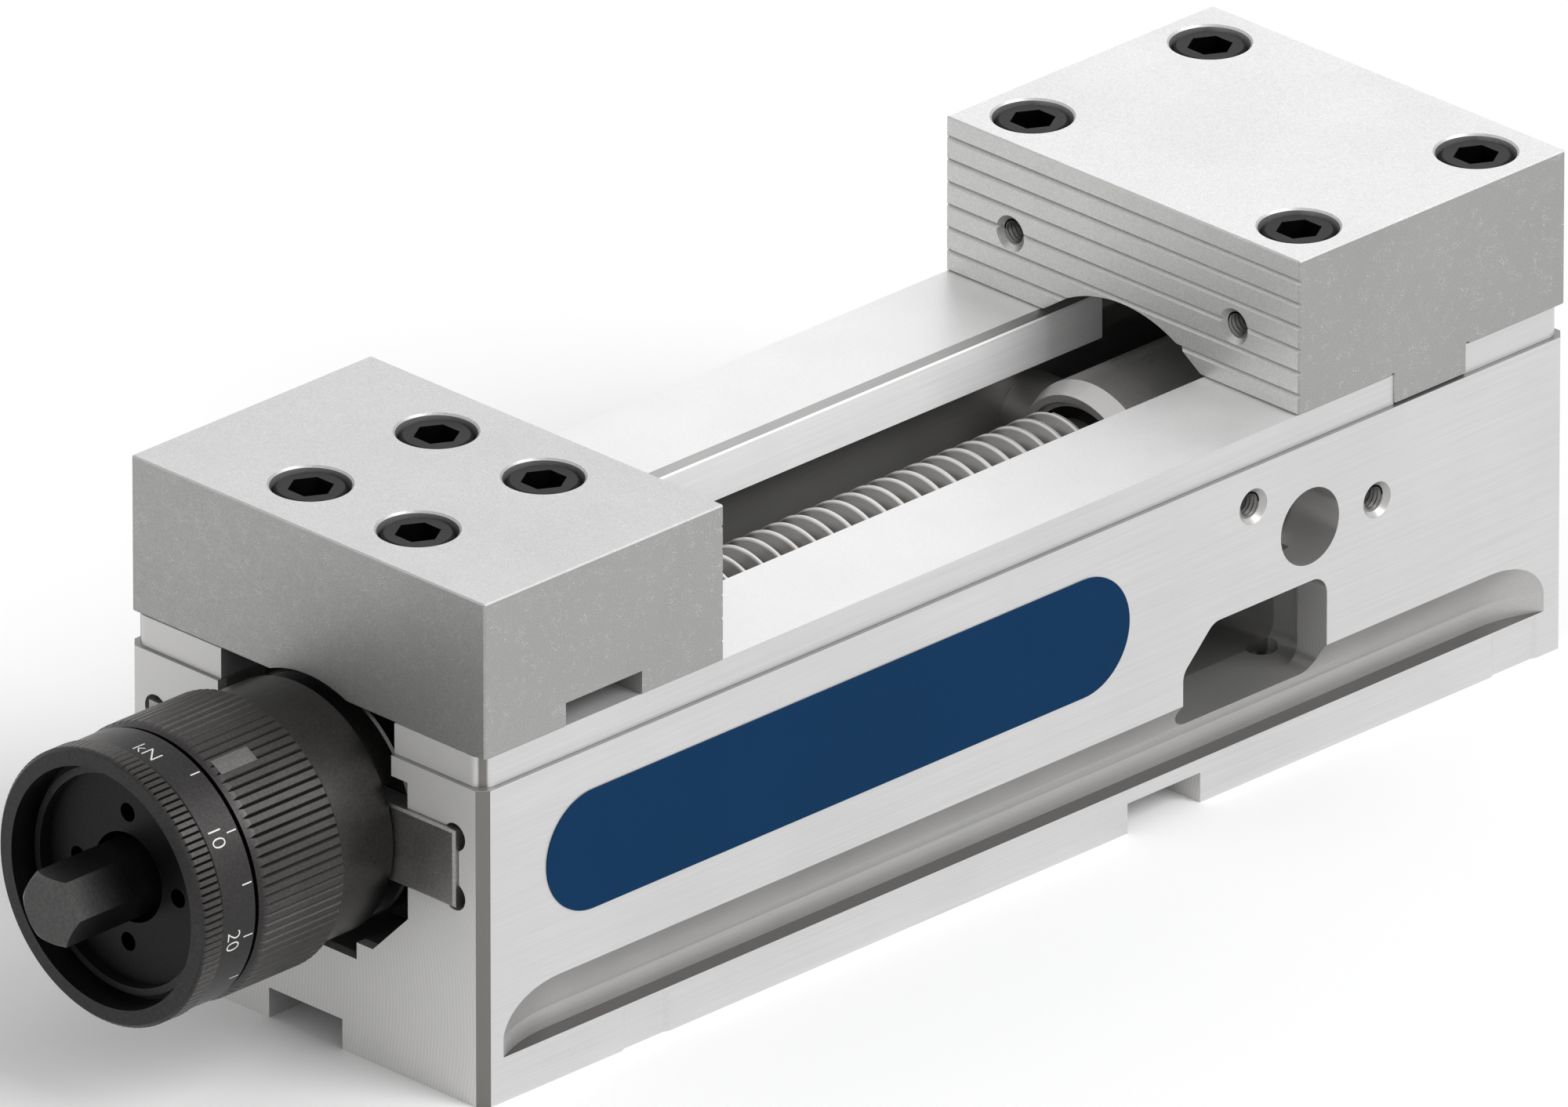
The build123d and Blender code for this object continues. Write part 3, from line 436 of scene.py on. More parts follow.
@dataclass(frozen=True)
class Finish:
    """What every finish has: a name, and the plain values of its shader."""

    name: str
    metallic: float = 1.0
    roughness: float = 0.4
    rough_spread: float = 0.05
    shade: Span = (0.9, 1.0)
    soft: Span = (0.95, 1.0)
    bump: float = 0.15
    bump_distance: float = 0.05 * MM

    def start(self) -> tuple[Graph, bpy.types.Material, bpy.types.Node, Socket, Socket]:
        """Makes the empty material.

        Returns:
            Its graph, the material, its Principled BSDF, the object coordinates and the normal.
        """
        material = bpy.data.materials.new(self.name)
        material.use_nodes = True
        graph = Graph(material.node_tree)
        shader = next(n for n in material.node_tree.nodes if n.type == "BSDF_PRINCIPLED")
        shader.inputs["Metallic"].default_value = self.metallic
        shader.inputs["Roughness"].default_value = self.roughness
        coordinates = graph.add("ShaderNodeTexCoord").outputs
        return graph, material, shader, coordinates["Object"], coordinates["Normal"]

    def shaded(self, graph: Graph, body: object, fine: Socket, cloud: Socket) -> Socket:
        """Scales a colour by a fine tone and by a broad one.

        Args:
            graph: the material's graph.
            body: the colour.
            fine: the fine tone, from 0 to 1.
            cloud: the broad tone, from 0 to 1.

        Returns:
            The scaled colour.
        """
        shade = graph.span(fine, 0.0, 1.0, *self.shade)
        soft = graph.span(cloud, 0.0, 1.0, *self.soft)
        tone = graph.vector("SCALE", body)
        graph.feed(tone.inputs["Scale"], graph.math("MULTIPLY", shade, soft))
        return tone.outputs["Vector"]

    def roughen(self, graph: Graph, shader: bpy.types.Node, tone: Socket) -> None:
        """Lets the roughness vary with a tone, by rough_spread to both sides.

        Args:
            graph: the material's graph.
            shader: its Principled BSDF.
            tone: the tone, from 0 to 1.
        """
        low, high = self.roughness - self.rough_spread, self.roughness + self.rough_spread
        graph.feed(shader.inputs["Roughness"], graph.span(tone, 0.0, 1.0, low, high))

    def emboss(self, graph: Graph, shader: bpy.types.Node, height: Socket) -> None:
        """Links a height to the shader's normal through a Bump node.

        Args:
            graph: the material's graph.
            shader: its Principled BSDF.
            height: the height, from 0 to 1.
        """
        bump = graph.add("ShaderNodeBump")
        graph.feed(bump.inputs["Strength"], self.bump)
        graph.feed(bump.inputs["Distance"], self.bump_distance)
        graph.feed(bump.inputs["Height"], height)
        graph.feed(shader.inputs["Normal"], bump.outputs["Normal"])


@dataclass(frozen=True)
class GroundSteel(Finish):
    """The base: ground rails, face-milled front, finely milled flanks, and painted light and
    shade.
    """

    metallic: float = 0.7
    rough_spread: float = 0.04
    up_span: Span = (0.75, 0.9)
    front_span: Span = (0.9, 0.97)
    bevel_span: Span = (0.94, 0.98)
    # Colours by facing, partly the finish and partly painted light and shade
    side: Colour = (0.62, 0.615, 0.615)
    top: Colour = (0.9, 0.9, 0.9)
    front: Colour = (0.7, 0.695, 0.685)
    # Painted shade on the upright corner chamfers
    corner_shade: Colour = (0.19, 0.185, 0.175)
    # Painted shade on the top edge chamfers and on the narrow ledge below the rails
    edge: Colour = (0.3, 0.297, 0.295)
    # Painted shade in the chamber below the rails
    chamber_shade: Colour = (0.3, 0.295, 0.29)
    # Painted shade in the clamping grooves and windows, darkest on the floors of the grooves
    groove_shade: Colour = (0.46, 0.455, 0.45)
    groove_floor_shade: Colour = (0.12, 0.117, 0.115)
    # Painted highlight: near-white, less metallic guide walls between the rails
    guide_highlight: Colour = (0.97, 0.97, 0.97)
    guide_metallic: float = 0.1
    front_metallic: float = 0.3
    cutter_radius: float = 0.09
    cutter_pitch: float = 0.0011

    def material(self, effects: SurfaceEffects) -> bpy.types.Material:
        """Builds the material.

        Args:
            effects: the shared node groups.

        Returns:
            The material.
        """
        graph, material, shader, place, normal = self.start()
        up = effects.faces(graph, normal, Facing.UP, self.up_span)
        front = effects.faces(graph, normal, Facing.FRONT, self.front_span)
        along, upright, cloud = (
            graph.get(effects.grain, Place=place, Stretch=lay.value)
            for lay in (Lay.ALONG, Lay.UPRIGHT, Lay.CLOUD)
        )
        arcs = graph.get(
            effects.milling, Place=place, Radius=self.cutter_radius, Pitch=self.cutter_pitch
        )
        # Painted light and shade: each facing, bevel and hollow region gets its own colour
        body = graph.blend(up, self.side, self.top)
        body = graph.blend(front, body, self.front)
        bevels = {
            Facing.RIGHT_CORNER: self.corner_shade,
            Facing.LEFT_CORNER: self.corner_shade,
            Facing.RIGHT_EDGE: self.edge,
            Facing.LEFT_EDGE: self.edge,
        }
        for facing, colour in bevels.items():
            bevel = effects.faces(graph, normal, facing, self.bevel_span)
            body = graph.blend(bevel, body, colour)
        regions = (
            (CHAMBER, self.chamber_shade),
            (GROOVES, graph.blend(up, self.groove_shade, self.groove_floor_shade)),
            (WINDOWS, self.groove_shade),
            (LEDGE, self.edge),
        )
        for (low, high), colour in regions:
            mask = graph.get(effects.region, Place=place, Low=low, High=high)
            body = graph.blend(mask, body, colour)
        guide_highlight = graph.get(effects.region, Place=place, Low=GUIDES[0], High=GUIDES[1])
        body = graph.blend(guide_highlight, body, self.guide_highlight)
        metal = graph.span(front, 0.0, 1.0, self.metallic, self.front_metallic)
        metal = graph.span(guide_highlight, 0.0, 1.0, metal, self.guide_metallic)
        lay = graph.blend(front, graph.blend(up, along, upright), arcs)
        graph.feed(shader.inputs["Metallic"], metal)
        graph.feed(shader.inputs["Base Color"], self.shaded(graph, body, lay, cloud))
        self.roughen(graph, shader, cloud)
        self.emboss(graph, shader, lay)
        return material


@dataclass(frozen=True)
class BlastedSteel(Finish):
    """The jaws: finely blasted sides, painted glints, tops lighter as ground and as painted light.
    """

    metallic: float = 0.7
    shade: Span = (0.86, 1.06)
    soft: Span = (0.96, 1.02)
    up_span: Span = (0.6, 0.9)
    front_span: Span = (0.7, 0.9)
    # Colours by facing: painted light and shade, the top also lighter as a ground face
    side: Colour = (0.34, 0.34, 0.335)
    top: Colour = (0.84, 0.84, 0.84)
    front: Colour = (0.38, 0.38, 0.375)
    # Colour and roughness of the painted glints
    glint_colour: Colour = (0.95, 0.95, 0.95)
    glint_roughness: float = 0.25
    density: float = 2600.0
    glint_strength: float = 0.7

    def material(self, effects: SurfaceEffects) -> bpy.types.Material:
        """Builds the material.

        Args:
            effects: the shared node groups.

        Returns:
            The material.
        """
        graph, material, shader, place, normal = self.start()
        density, glint_strength = self.density, self.glint_strength
        specks = graph.use(effects.speckle, Place=place, Density=density, Sparkle=glint_strength)
        tone, glints = specks.outputs["Tone"], specks.outputs["Glints"]
        cloud = graph.get(effects.grain, Place=place, Stretch=Lay.CLOUD.value)
        up = effects.faces(graph, normal, Facing.UP, self.up_span)
        front = effects.faces(graph, normal, Facing.FRONT, self.front_span)
        # Painted light and shade: the top, the sides and the front get their own colours
        body = graph.blend(front, graph.blend(up, self.side, self.top), self.front)
        body = self.shaded(graph, body, tone, cloud)
        # Painted glints: sparse bright spots blended into the colour
        graph.feed(shader.inputs["Base Color"], graph.blend(glints, body, self.glint_colour))
        rough = graph.span(glints, 0.0, 1.0, self.roughness, self.glint_roughness)
        graph.feed(shader.inputs["Roughness"], rough)
        self.emboss(graph, shader, tone)
        return material


@dataclass(frozen=True)
class TurnedMetal(Finish):
    """A piece turned on a lathe, such as the screw, a nut or a bush."""

    shade: Span = (0.84, 1.0)
    soft: Span = (0.92, 1.0)
    # Colour from full_radius outwards, painted shade from deep_radius inwards, as in a thread's
    # roots
    colour: Colour = (0.6, 0.6, 0.6)
    hollow_shade: Colour = (0.3, 0.3, 0.3)
    deep_radius: float = 0.0
    full_radius: float = 1.0 * MM
    rings: float = 3000.0

    def material(self, effects: SurfaceEffects) -> bpy.types.Material:
        """Builds the material.

        Args:
            effects: the shared node groups.

        Returns:
            The material.
        """
        graph, material, shader, place, _ = self.start()
        turned = graph.use(effects.turning, Place=place, Rings=self.rings)
        cloud = graph.get(effects.grain, Place=place, Stretch=Lay.CLOUD.value)
        # Painted shade: darker from full_radius down to deep_radius
        height = graph.span(turned.outputs["Radius"], self.deep_radius, self.full_radius, 0.0, 1.0)
        body = graph.blend(height, self.hollow_shade, self.colour)
        colour = self.shaded(graph, body, turned.outputs["Tone"], cloud)
        graph.feed(shader.inputs["Base Color"], colour)
        self.roughen(graph, shader, cloud)
        self.emboss(graph, shader, turned.outputs["Tone"])
        return material


@dataclass(frozen=True)
class DarkSteel(Finish):
    """Burnished or blackened steel, mottled and lighter where it is handled."""

    rough_spread: float = 0.06
    shade: Span = (0.8, 1.1)
    soft: Span = (0.85, 1.1)
    colour: Colour = (0.045, 0.043, 0.043)
    worn: Colour = (0.075, 0.072, 0.07)
    worn_radius: float = 1.0
    worn_width: float = 0.6 * MM
    density: float = 1500.0
    glint_strength: float = 0.35
    rings: float = 5000.0

    def material(self, effects: SurfaceEffects) -> bpy.types.Material:
        """Builds the material.

        Args:
            effects: the shared node groups.

        Returns:
            The material.
        """
        graph, material, shader, place, _ = self.start()
        density, glint_strength = self.density, self.glint_strength
        specks = graph.use(effects.speckle, Place=place, Density=density, Sparkle=glint_strength)
        cloud = graph.get(effects.grain, Place=place, Stretch=Lay.CLOUD.value)
        turned = graph.use(effects.turning, Place=place, Rings=self.rings)
        start = self.worn_radius - self.worn_width
        rubbed = graph.span(turned.outputs["Radius"], start, self.worn_radius, 0.0, 1.0)
        body = graph.blend(rubbed, self.colour, self.worn)
        colour = self.shaded(graph, body, specks.outputs["Tone"], cloud)
        graph.feed(shader.inputs["Base Color"], colour)
        self.roughen(graph, shader, cloud)
        self.emboss(graph, shader, specks.outputs["Tone"])
        return material


@dataclass(frozen=True)
class Film(Finish):
    """Printed film or plain plastic, with a faint unevenness."""

    metallic: float = 0.0
    roughness: float = 0.35
    shade: Span = (1.0, 1.0)
    soft: Span = (0.96, 1.04)
    colour: Colour = (0.002, 0.026, 0.075)
    specular: float = 0.04
    density: float = 2200.0

    def material(self, effects: SurfaceEffects) -> bpy.types.Material:
        """Builds the material.

        Args:
            effects: the shared node groups.

        Returns:
            The material.
        """
        graph, material, shader, place, _ = self.start()
        shader.inputs["Specular IOR Level"].default_value = self.specular
        cloud = graph.get(effects.grain, Place=place, Stretch=Lay.CLOUD.value)
        fine = graph.use(effects.speckle, Place=place, Density=self.density, Sparkle=0.0)
        colour = self.shaded(graph, self.colour, fine.outputs["Tone"], cloud)
        graph.feed(shader.inputs["Base Color"], colour)
        self.roughen(graph, shader, fine.outputs["Tone"])
        self.emboss(graph, shader, fine.outputs["Tone"])
        return material


class Paint(Enum):
    """The finishes of this vise."""

    BASE = GroundSteel("ground_base_steel", roughness=0.4)
    SLIDE = GroundSteel(
        "ground_slide_steel", roughness=0.42, side=(0.5, 0.5, 0.5), top=(0.6, 0.6, 0.6)
    )
    # One blasted steel in lit and shaded copies: the moving jaw's top painted darker, the fixed
    # jaw's front painted lighter
    JAW = BlastedSteel("blasted_jaw_steel", roughness=0.45, top=(0.64, 0.64, 0.64))
    FIXED_JAW = BlastedSteel("blasted_fixed_jaw_steel", roughness=0.45, front=(0.64, 0.64, 0.63))
    # Painted shade on the screw's thread flanks and roots, below the bright crests
    SCREW = TurnedMetal(
        "rolled_screw_steel",
        roughness=0.3,
        metallic=0.85,
        colour=(0.85, 0.83, 0.81),
        hollow_shade=(0.26, 0.255, 0.25),
        deep_radius=17.4 * MM,
        full_radius=17.9 * MM,
    )
    TURNED = TurnedMetal("turned_steel", roughness=0.3, metallic=0.7, colour=(0.6, 0.59, 0.58))
    # Painted shade: the tapped threads in a dark colour, for the shade inside the holes
    THREAD = TurnedMetal(
        "hole_shade_thread_steel", roughness=0.35, metallic=0.7, colour=(0.25, 0.245, 0.24)
    )
    BRONZE = TurnedMetal(
        "bearing_bronze", roughness=0.35, colour=(0.55, 0.34, 0.14), hollow_shade=(0.4, 0.24, 0.1)
    )
    HEAD = DarkSteel("burnished_head_steel", roughness=0.42, worn_radius=35.2 * MM)
    HOUSING = DarkSteel(
        "burnished_housing_steel",
        roughness=0.36,
        colour=(0.11, 0.107, 0.105),
        worn_radius=32.5 * MM,
    )
    PLATE = DarkSteel("burnished_plate_steel", roughness=0.45, colour=(0.33, 0.322, 0.318))
    # The index field is lighter than the sleeve
    INDEX = DarkSteel("light_index_steel", roughness=0.45, colour=(0.17, 0.165, 0.162))
    SHAFT = DarkSteel("burnished_shaft_steel", roughness=0.4, colour=(0.085, 0.083, 0.082))
    BLACK = DarkSteel(
        "black_oxide_steel", roughness=0.4, colour=(0.02, 0.02, 0.02), worn=(0.03, 0.03, 0.03)
    )
    LABEL = Film("blue_label_film")
    WIPER = Film("black_wiper_plastic", colour=(0.012, 0.012, 0.012), roughness=0.5)
    MARKS = Film("white_scale_paint", colour=(0.62, 0.62, 0.6), roughness=0.5)


class Workshop:
    """Builds the materials once, and hands them to the pieces."""

    sharp_angle: float = math.radians(35.0)

    def __init__(self) -> None:
        """Builds the shared groups and every finish."""
        self.effects = SurfaceEffects()
        self.materials = {paint: paint.value.material(self.effects) for paint in Paint}

    def dress(self, piece: bpy.types.Object, paint: Paint) -> None:
        """Gives a piece its material.

        Args:
            piece: a CAD node's object or a new piece.
            paint: its finish.
        """
        piece.data.materials.clear()
        piece.data.materials.append(self.materials[paint])

    def dress_nodes(self, paints: dict[str, Paint]) -> None:
        """Gives CAD nodes their materials.

        Args:
            paints: finish by node name.
        """
        for name, paint in paints.items():
            self.dress(frame["nodes"][name], paint)
            LOG.info("dressed %s with %s", name, paint.value.name)

    def add_mesh(
        self,
        name: str,
        points: np.ndarray,
        faces: np.ndarray,
        paint: Paint,
        body: str,
        slot: str,
    ) -> bpy.types.Object:
        """Makes a piece from points and faces, merges its seams and points its faces outwards.

        Args:
            name: the piece's name.
            points: array of points in metres, one row each.
            faces: array of corner numbers, one row for each face.
            paint: its finish.
            body: CAD body that it rides on.
            slot: the record's material slot; not used.

        Returns:
            The new object.
        """
        mesh = bpy.data.meshes.new(name)
        mesh.from_pydata(points.tolist(), [], faces.tolist())
        shape = bmesh.new()
        shape.from_mesh(mesh)
        bmesh.ops.remove_doubles(shape, verts=shape.verts, dist=MERGE_DISTANCE)
        bmesh.ops.dissolve_degenerate(shape, edges=shape.edges, dist=SHORTEST_EDGE)
        bmesh.ops.recalc_face_normals(shape, faces=shape.faces)
        for edge in shape.edges:
            bend = edge.calc_face_angle(math.pi)
            edge.smooth = len(edge.link_faces) == 2 and bend < self.sharp_angle
        for face in shape.faces:
            face.smooth = True
        shape.to_mesh(mesh)
        shape.free()
        piece = bpy.data.objects.new(name, mesh)
        bpy.context.scene.collection.objects.link(piece)
        self.dress(piece, paint)
        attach(piece, body)
        LOG.info("made %s, %d faces, rides on %s", name, len(mesh.polygons), body)
        return piece


def grid_faces(rows: int, columns: int) -> np.ndarray:
    """Quads of a grid of points.

    Args:
        rows: points along the first parameter.
        columns: points along the second parameter.

    Returns:
        Array of corner numbers, four in each row.
    """
    first = np.arange(rows - 1)[:, None] * columns + np.arange(columns - 1)[None, :]
    corners = [first, first + 1, first + columns + 1, first + columns]
    return np.stack(corners, axis=-1).reshape(-1, 4)


def about_spindle(along: np.ndarray, radius: np.ndarray, angle: np.ndarray) -> np.ndarray:
    """Points about the spindle: x = r cos a, y = along, z = axis + r sin a.

    Args:
        along: place along Y in metres.
        radius: distance from the axis.
        angle: angle from +X towards +Z, in radians.

    Returns:
        Array of points, one row each.
    """
    along, radius, angle = np.broadcast_arrays(along, radius, angle)
    return np.stack(
        [radius * np.cos(angle), along, AXIS_HEIGHT + radius * np.sin(angle)], axis=-1
    ).reshape(-1, 3)


@dataclass
class SpindleDrive:
    """The screw with its thread, the drive shaft, the clutch and the bearing."""

    workshop: Workshop
    crest_radius: float = 18.0 * MM
    root_radius: float = 14.6 * MM
    lead: float = 6.0 * MM
    thread_start: float = 11.9 * MM
    thread_end: float = 256.3 * MM
    tail_radius: float = 14.0 * MM
    collar_length: float = 4.9 * MM
    lip: float = 0.1 * MM
    steps: int = 96
    spare_turns: int = 2
    # One turn of the thread, as shares of its lead and of its depth
    profile: tuple[Span, ...] = (
        (0.0, 0.0),
        (0.32, 0.95),
        (0.34, 1.0),
        (0.46, 1.0),
        (0.48, 0.95),
        (0.8, 0.0),
    )
    paints: dict[str, Paint] = field(
        default_factory=lambda: {
            "drive_shaft": Paint.SHAFT,
            "clutch_balls": Paint.TURNED,
            "drive_key": Paint.PLATE,
            "disc_springs": Paint.PLATE,
            "thrust_washers": Paint.TURNED,
            "thrust_needles": Paint.TURNED,
            "needle_cage": Paint.BRONZE,
        }
    )

    def build(self) -> None:
        """Dresses the inner pieces and replaces the plain screw by a threaded one."""
        self.workshop.dress_nodes(self.paints)
        low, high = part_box("lead_screw")
        collar = high.x
        start = BASE_LOW.y + self.thread_start
        end = BASE_LOW.y + self.thread_end
        turns = math.ceil((end - start) / self.lead) + self.spare_turns
        turns = np.arange(-self.spare_turns, turns)
        steps = np.linspace(0.0, 2 * np.pi, self.steps + 1)
        phase, height = np.array(self.profile).T
        rows = (turns[:, None] + phase[None, :]).ravel()
        share = np.tile(height, len(turns))
        along = start + self.lead * (rows[:, None] + steps[None, :] / (2 * np.pi))
        depth = self.crest_radius - self.root_radius
        radius = (self.root_radius + depth * share)[:, None]
        radius = np.where(along < start, self.crest_radius, radius)
        radius = np.where(along > end, self.root_radius, radius)
        along = np.clip(along, start, end)
        front = np.array(
            [
                (low.y, 0.0),
                (low.y, collar),
                (low.y + self.collar_length, collar),
                (low.y + self.collar_length, self.crest_radius),
                (start - self.lip, self.crest_radius),
            ]
        )
        tail = np.array([(end, self.tail_radius), (high.y, self.tail_radius), (high.y, 0.0)])
        front, tail = (np.repeat(part[..., None], len(steps), axis=2) for part in (front, tail))
        along = np.vstack([front[:, 0], along, tail[:, 0]])
        radius = np.vstack([front[:, 1], radius, tail[:, 1]])
        points = about_spindle(along, radius, steps[None, :])
        faces = grid_faces(len(along), len(steps))
        thread = self.workshop.add_mesh(
            "threaded_screw", points, faces, Paint.SCREW, "spindle", "turned_steel"
        )
        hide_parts("lead_screw")


@dataclass
class ClampingHead:
    """The housing, the grip sleeve and the force dial with its scale."""

    workshop: Workshop
    scale_radius: float = 34.7 * MM
    proud: float = 0.03 * MM
    scale_rear: float = -50.6 * MM
    tick_length: float = 3.0 * MM
    tick_width: float = 0.35 * MM
    tick_inset: float = 0.5 * MM
    tick_columns: int = 4
    digit_height: float = 4.2 * MM
    digit_gap: float = 0.6 * MM
    capital_share: float = 0.7
    stroke_trim: float = 0.09 * MM
    tick_angles: tuple[float, ...] = (61.7, 34.3, 12.5, -9.9, -32.3, -54.7, -77.1, -99.5)
    words: tuple[tuple[str, float], ...] = (
        ("kN", 81.0),
        ("10", 34.3),
        ("20", -9.9),
        ("30", -54.7),
        ("40", -99.5),
    )
    index_radius: float = 35.28 * MM
    index_angle: float = 60.0
    index_front: float = -46.8 * MM
    index_length: float = 12.0 * MM
    index_width: float = 4.4 * MM
    index_depth: float = 0.6 * MM
    index_columns: int = 9
    paints: dict[str, Paint] = field(
        default_factory=lambda: {
            "spindle_housing": Paint.HOUSING,
            "grip_sleeve": Paint.HEAD,
            "force_dial": Paint.HEAD,
            "face_disc": Paint.BLACK,
        }
    )

    def build(self) -> None:
        """Dresses the head, and adds the dial's ticks and words and the sleeve's index mark."""
        self.workshop.dress_nodes(self.paints)
        self._ticks()
        self._numbers()
        self._index()

    def _wrap(self, flat: np.ndarray, angle: float, centre: float) -> np.ndarray:
        """Wraps flat points on the dial's band: x runs round it, and y runs along the spindle.

        Args:
            flat: array of flat points, with x as arc length and y along the axis.
            angle: angle of x = 0, in degrees.
            centre: place of y = 0 along Y.

        Returns:
            The wrapped points.
        """
        turned = math.radians(angle) - flat[:, 0] / self.scale_radius
        radius = np.full(len(flat), self.scale_radius + self.proud)
        return about_spindle(centre + flat[:, 1], radius, turned)

    def _index(self) -> None:
        """Adds the smooth index field on the sleeve, which is a closed curved plate."""
        half = self.index_width / 2 / self.index_radius
        middle = math.radians(self.index_angle)
        around = np.linspace(middle - half, middle + half, self.index_columns)[None, :]
        front = BASE_LOW.y + self.index_front
        rear = front + self.index_length
        inner = self.index_radius - self.index_depth
        along = np.array([front, front, rear, rear, front])[:, None]
        radius = np.array([inner, self.index_radius, self.index_radius, inner, inner])[:, None]
        points = about_spindle(along, radius, around)
        faces = grid_faces(5, around.size)
        first = np.arange(4) * around.size
        faces = np.vstack([faces, first, first + around.size - 1])
        self.workshop.add_mesh(
            "index_field", points, faces, Paint.INDEX, "spindle", "dark_steel"
        )

    def _ticks(self) -> None:
        """Adds the ticks: each is a strip of a few columns that follows the band."""
        columns = np.linspace(-0.5, 0.5, self.tick_columns) * self.tick_width
        along, across = np.meshgrid([0.0, -self.tick_length], columns, indexing="ij")
        flat = np.stack([across, along], axis=-1).reshape(-1, 2)
        rear = BASE_LOW.y + self.scale_rear - self.tick_inset
        points = np.vstack([self._wrap(flat, angle, rear) for angle in self.tick_angles])
        single = grid_faces(2, len(columns))
        faces = np.vstack([single + tick * len(flat) for tick in range(len(self.tick_angles))])
        self.workshop.add_mesh("scale_ticks", points, faces, Paint.MARKS, "dial", "dark_steel")

    def _numbers(self) -> None:
        """Adds the unit and the plain numbers: text as a mesh, wrapped on the band."""
        centre = BASE_LOW.y + self.scale_rear - self.tick_inset - self.tick_length
        centre -= self.digit_gap
        points, faces, count = [], [], 0
        for word, angle in self.words:
            text = bpy.data.curves.new("number", "FONT")
            text.body = word
            text.size = self.digit_height / self.capital_share
            text.offset = -self.stroke_trim
            text.align_x = "CENTER"
            text.align_y = "TOP"
            carrier = bpy.data.objects.new("number", text)
            bpy.context.scene.collection.objects.link(carrier)
            evaluated = carrier.evaluated_get(bpy.context.evaluated_depsgraph_get())
            mesh = bpy.data.meshes.new_from_object(evaluated)
            shape = bmesh.new()
            shape.from_mesh(mesh)
            bmesh.ops.triangulate(shape, faces=shape.faces)
            shape.to_mesh(mesh)
            shape.free()
            flat = np.zeros(len(mesh.vertices) * 3)
            mesh.vertices.foreach_get("co", flat)
            corners = np.zeros(len(mesh.loops), dtype=int)
            mesh.loops.foreach_get("vertex_index", corners)
            points.append(self._wrap(flat.reshape(-1, 3)[:, :2], angle, centre))
            faces.append(corners.reshape(-1, 3) + count)
            count += len(mesh.vertices)
            bpy.data.objects.remove(carrier)
            bpy.data.meshes.remove(mesh)
        self.workshop.add_mesh(
            "scale_numbers", np.vstack(points), np.vstack(faces), Paint.MARKS, "dial", "dark_steel"
        )


@dataclass
class TappedHoles:
    """The threads in the M8 holes, which the CAD part has at their core size."""

    workshop: Workshop
    outer_radius: float = 3.42 * MM
    inner_radius: float = 3.0 * MM
    lead: float = 1.25 * MM
    long_depth: float = 13.0 * MM
    short_depth: float = 7.7 * MM
    thread_start: float = 1.4 * MM
    wall_thickness: float = 0.02 * MM
    steps: int = 32

    def thread(
        self, name: str, mouth: Vector, inwards: Vector, depth: float, body: str, slot: str
    ) -> None:
        """Adds one thread: a closed wall whose inner radius follows a triangle wave along a helix.

        Args:
            name: the piece's name.
            mouth: middle of the hole's mouth.
            inwards: unit vector into the hole, along X or Y.
            depth: length of the thread with its mouth.
            body: CAD body that it rides on.
            slot: the record's material slot.
        """
        start = self.thread_start
        turns = int((depth - start) / self.lead)
        end = start + turns * self.lead
        angle = np.linspace(0.0, 2 * np.pi, self.steps + 1)[None, :]
        rows = np.arange(-2, 2 * turns + 3)[:, None] / 2
        along = np.clip(start + self.lead * (rows + angle / (2 * np.pi)), start, end)
        even = (np.arange(len(rows)) % 2 == 0)[:, None]
        peak = np.where(even, self.inner_radius, self.outer_radius)
        radius = np.broadcast_to(peak, along.shape)
        back = self.outer_radius + self.wall_thickness
        wall = np.array([(end, back), (start, back)])
        along = np.vstack([along, np.repeat(wall[:, :1], along.shape[1], axis=1), along[:1]])
        radius = np.vstack([radius, np.repeat(wall[:, 1:], radius.shape[1], axis=1), radius[:1]])
        side = Vector((0.0, 1.0, 0.0)) if abs(inwards.x) > 0.5 else Vector((1.0, 0.0, 0.0))
        up = Vector((0.0, 0.0, 1.0))
        points = (
            np.array(mouth)
            + along[..., None] * np.array(inwards)
            + (radius * np.cos(angle))[..., None] * np.array(side)
            + (radius * np.sin(angle))[..., None] * np.array(up)
        ).reshape(-1, 3)
        faces = grid_faces(len(along), along.shape[1])
        self.workshop.add_mesh(name, points, faces, Paint.THREAD, body, slot)


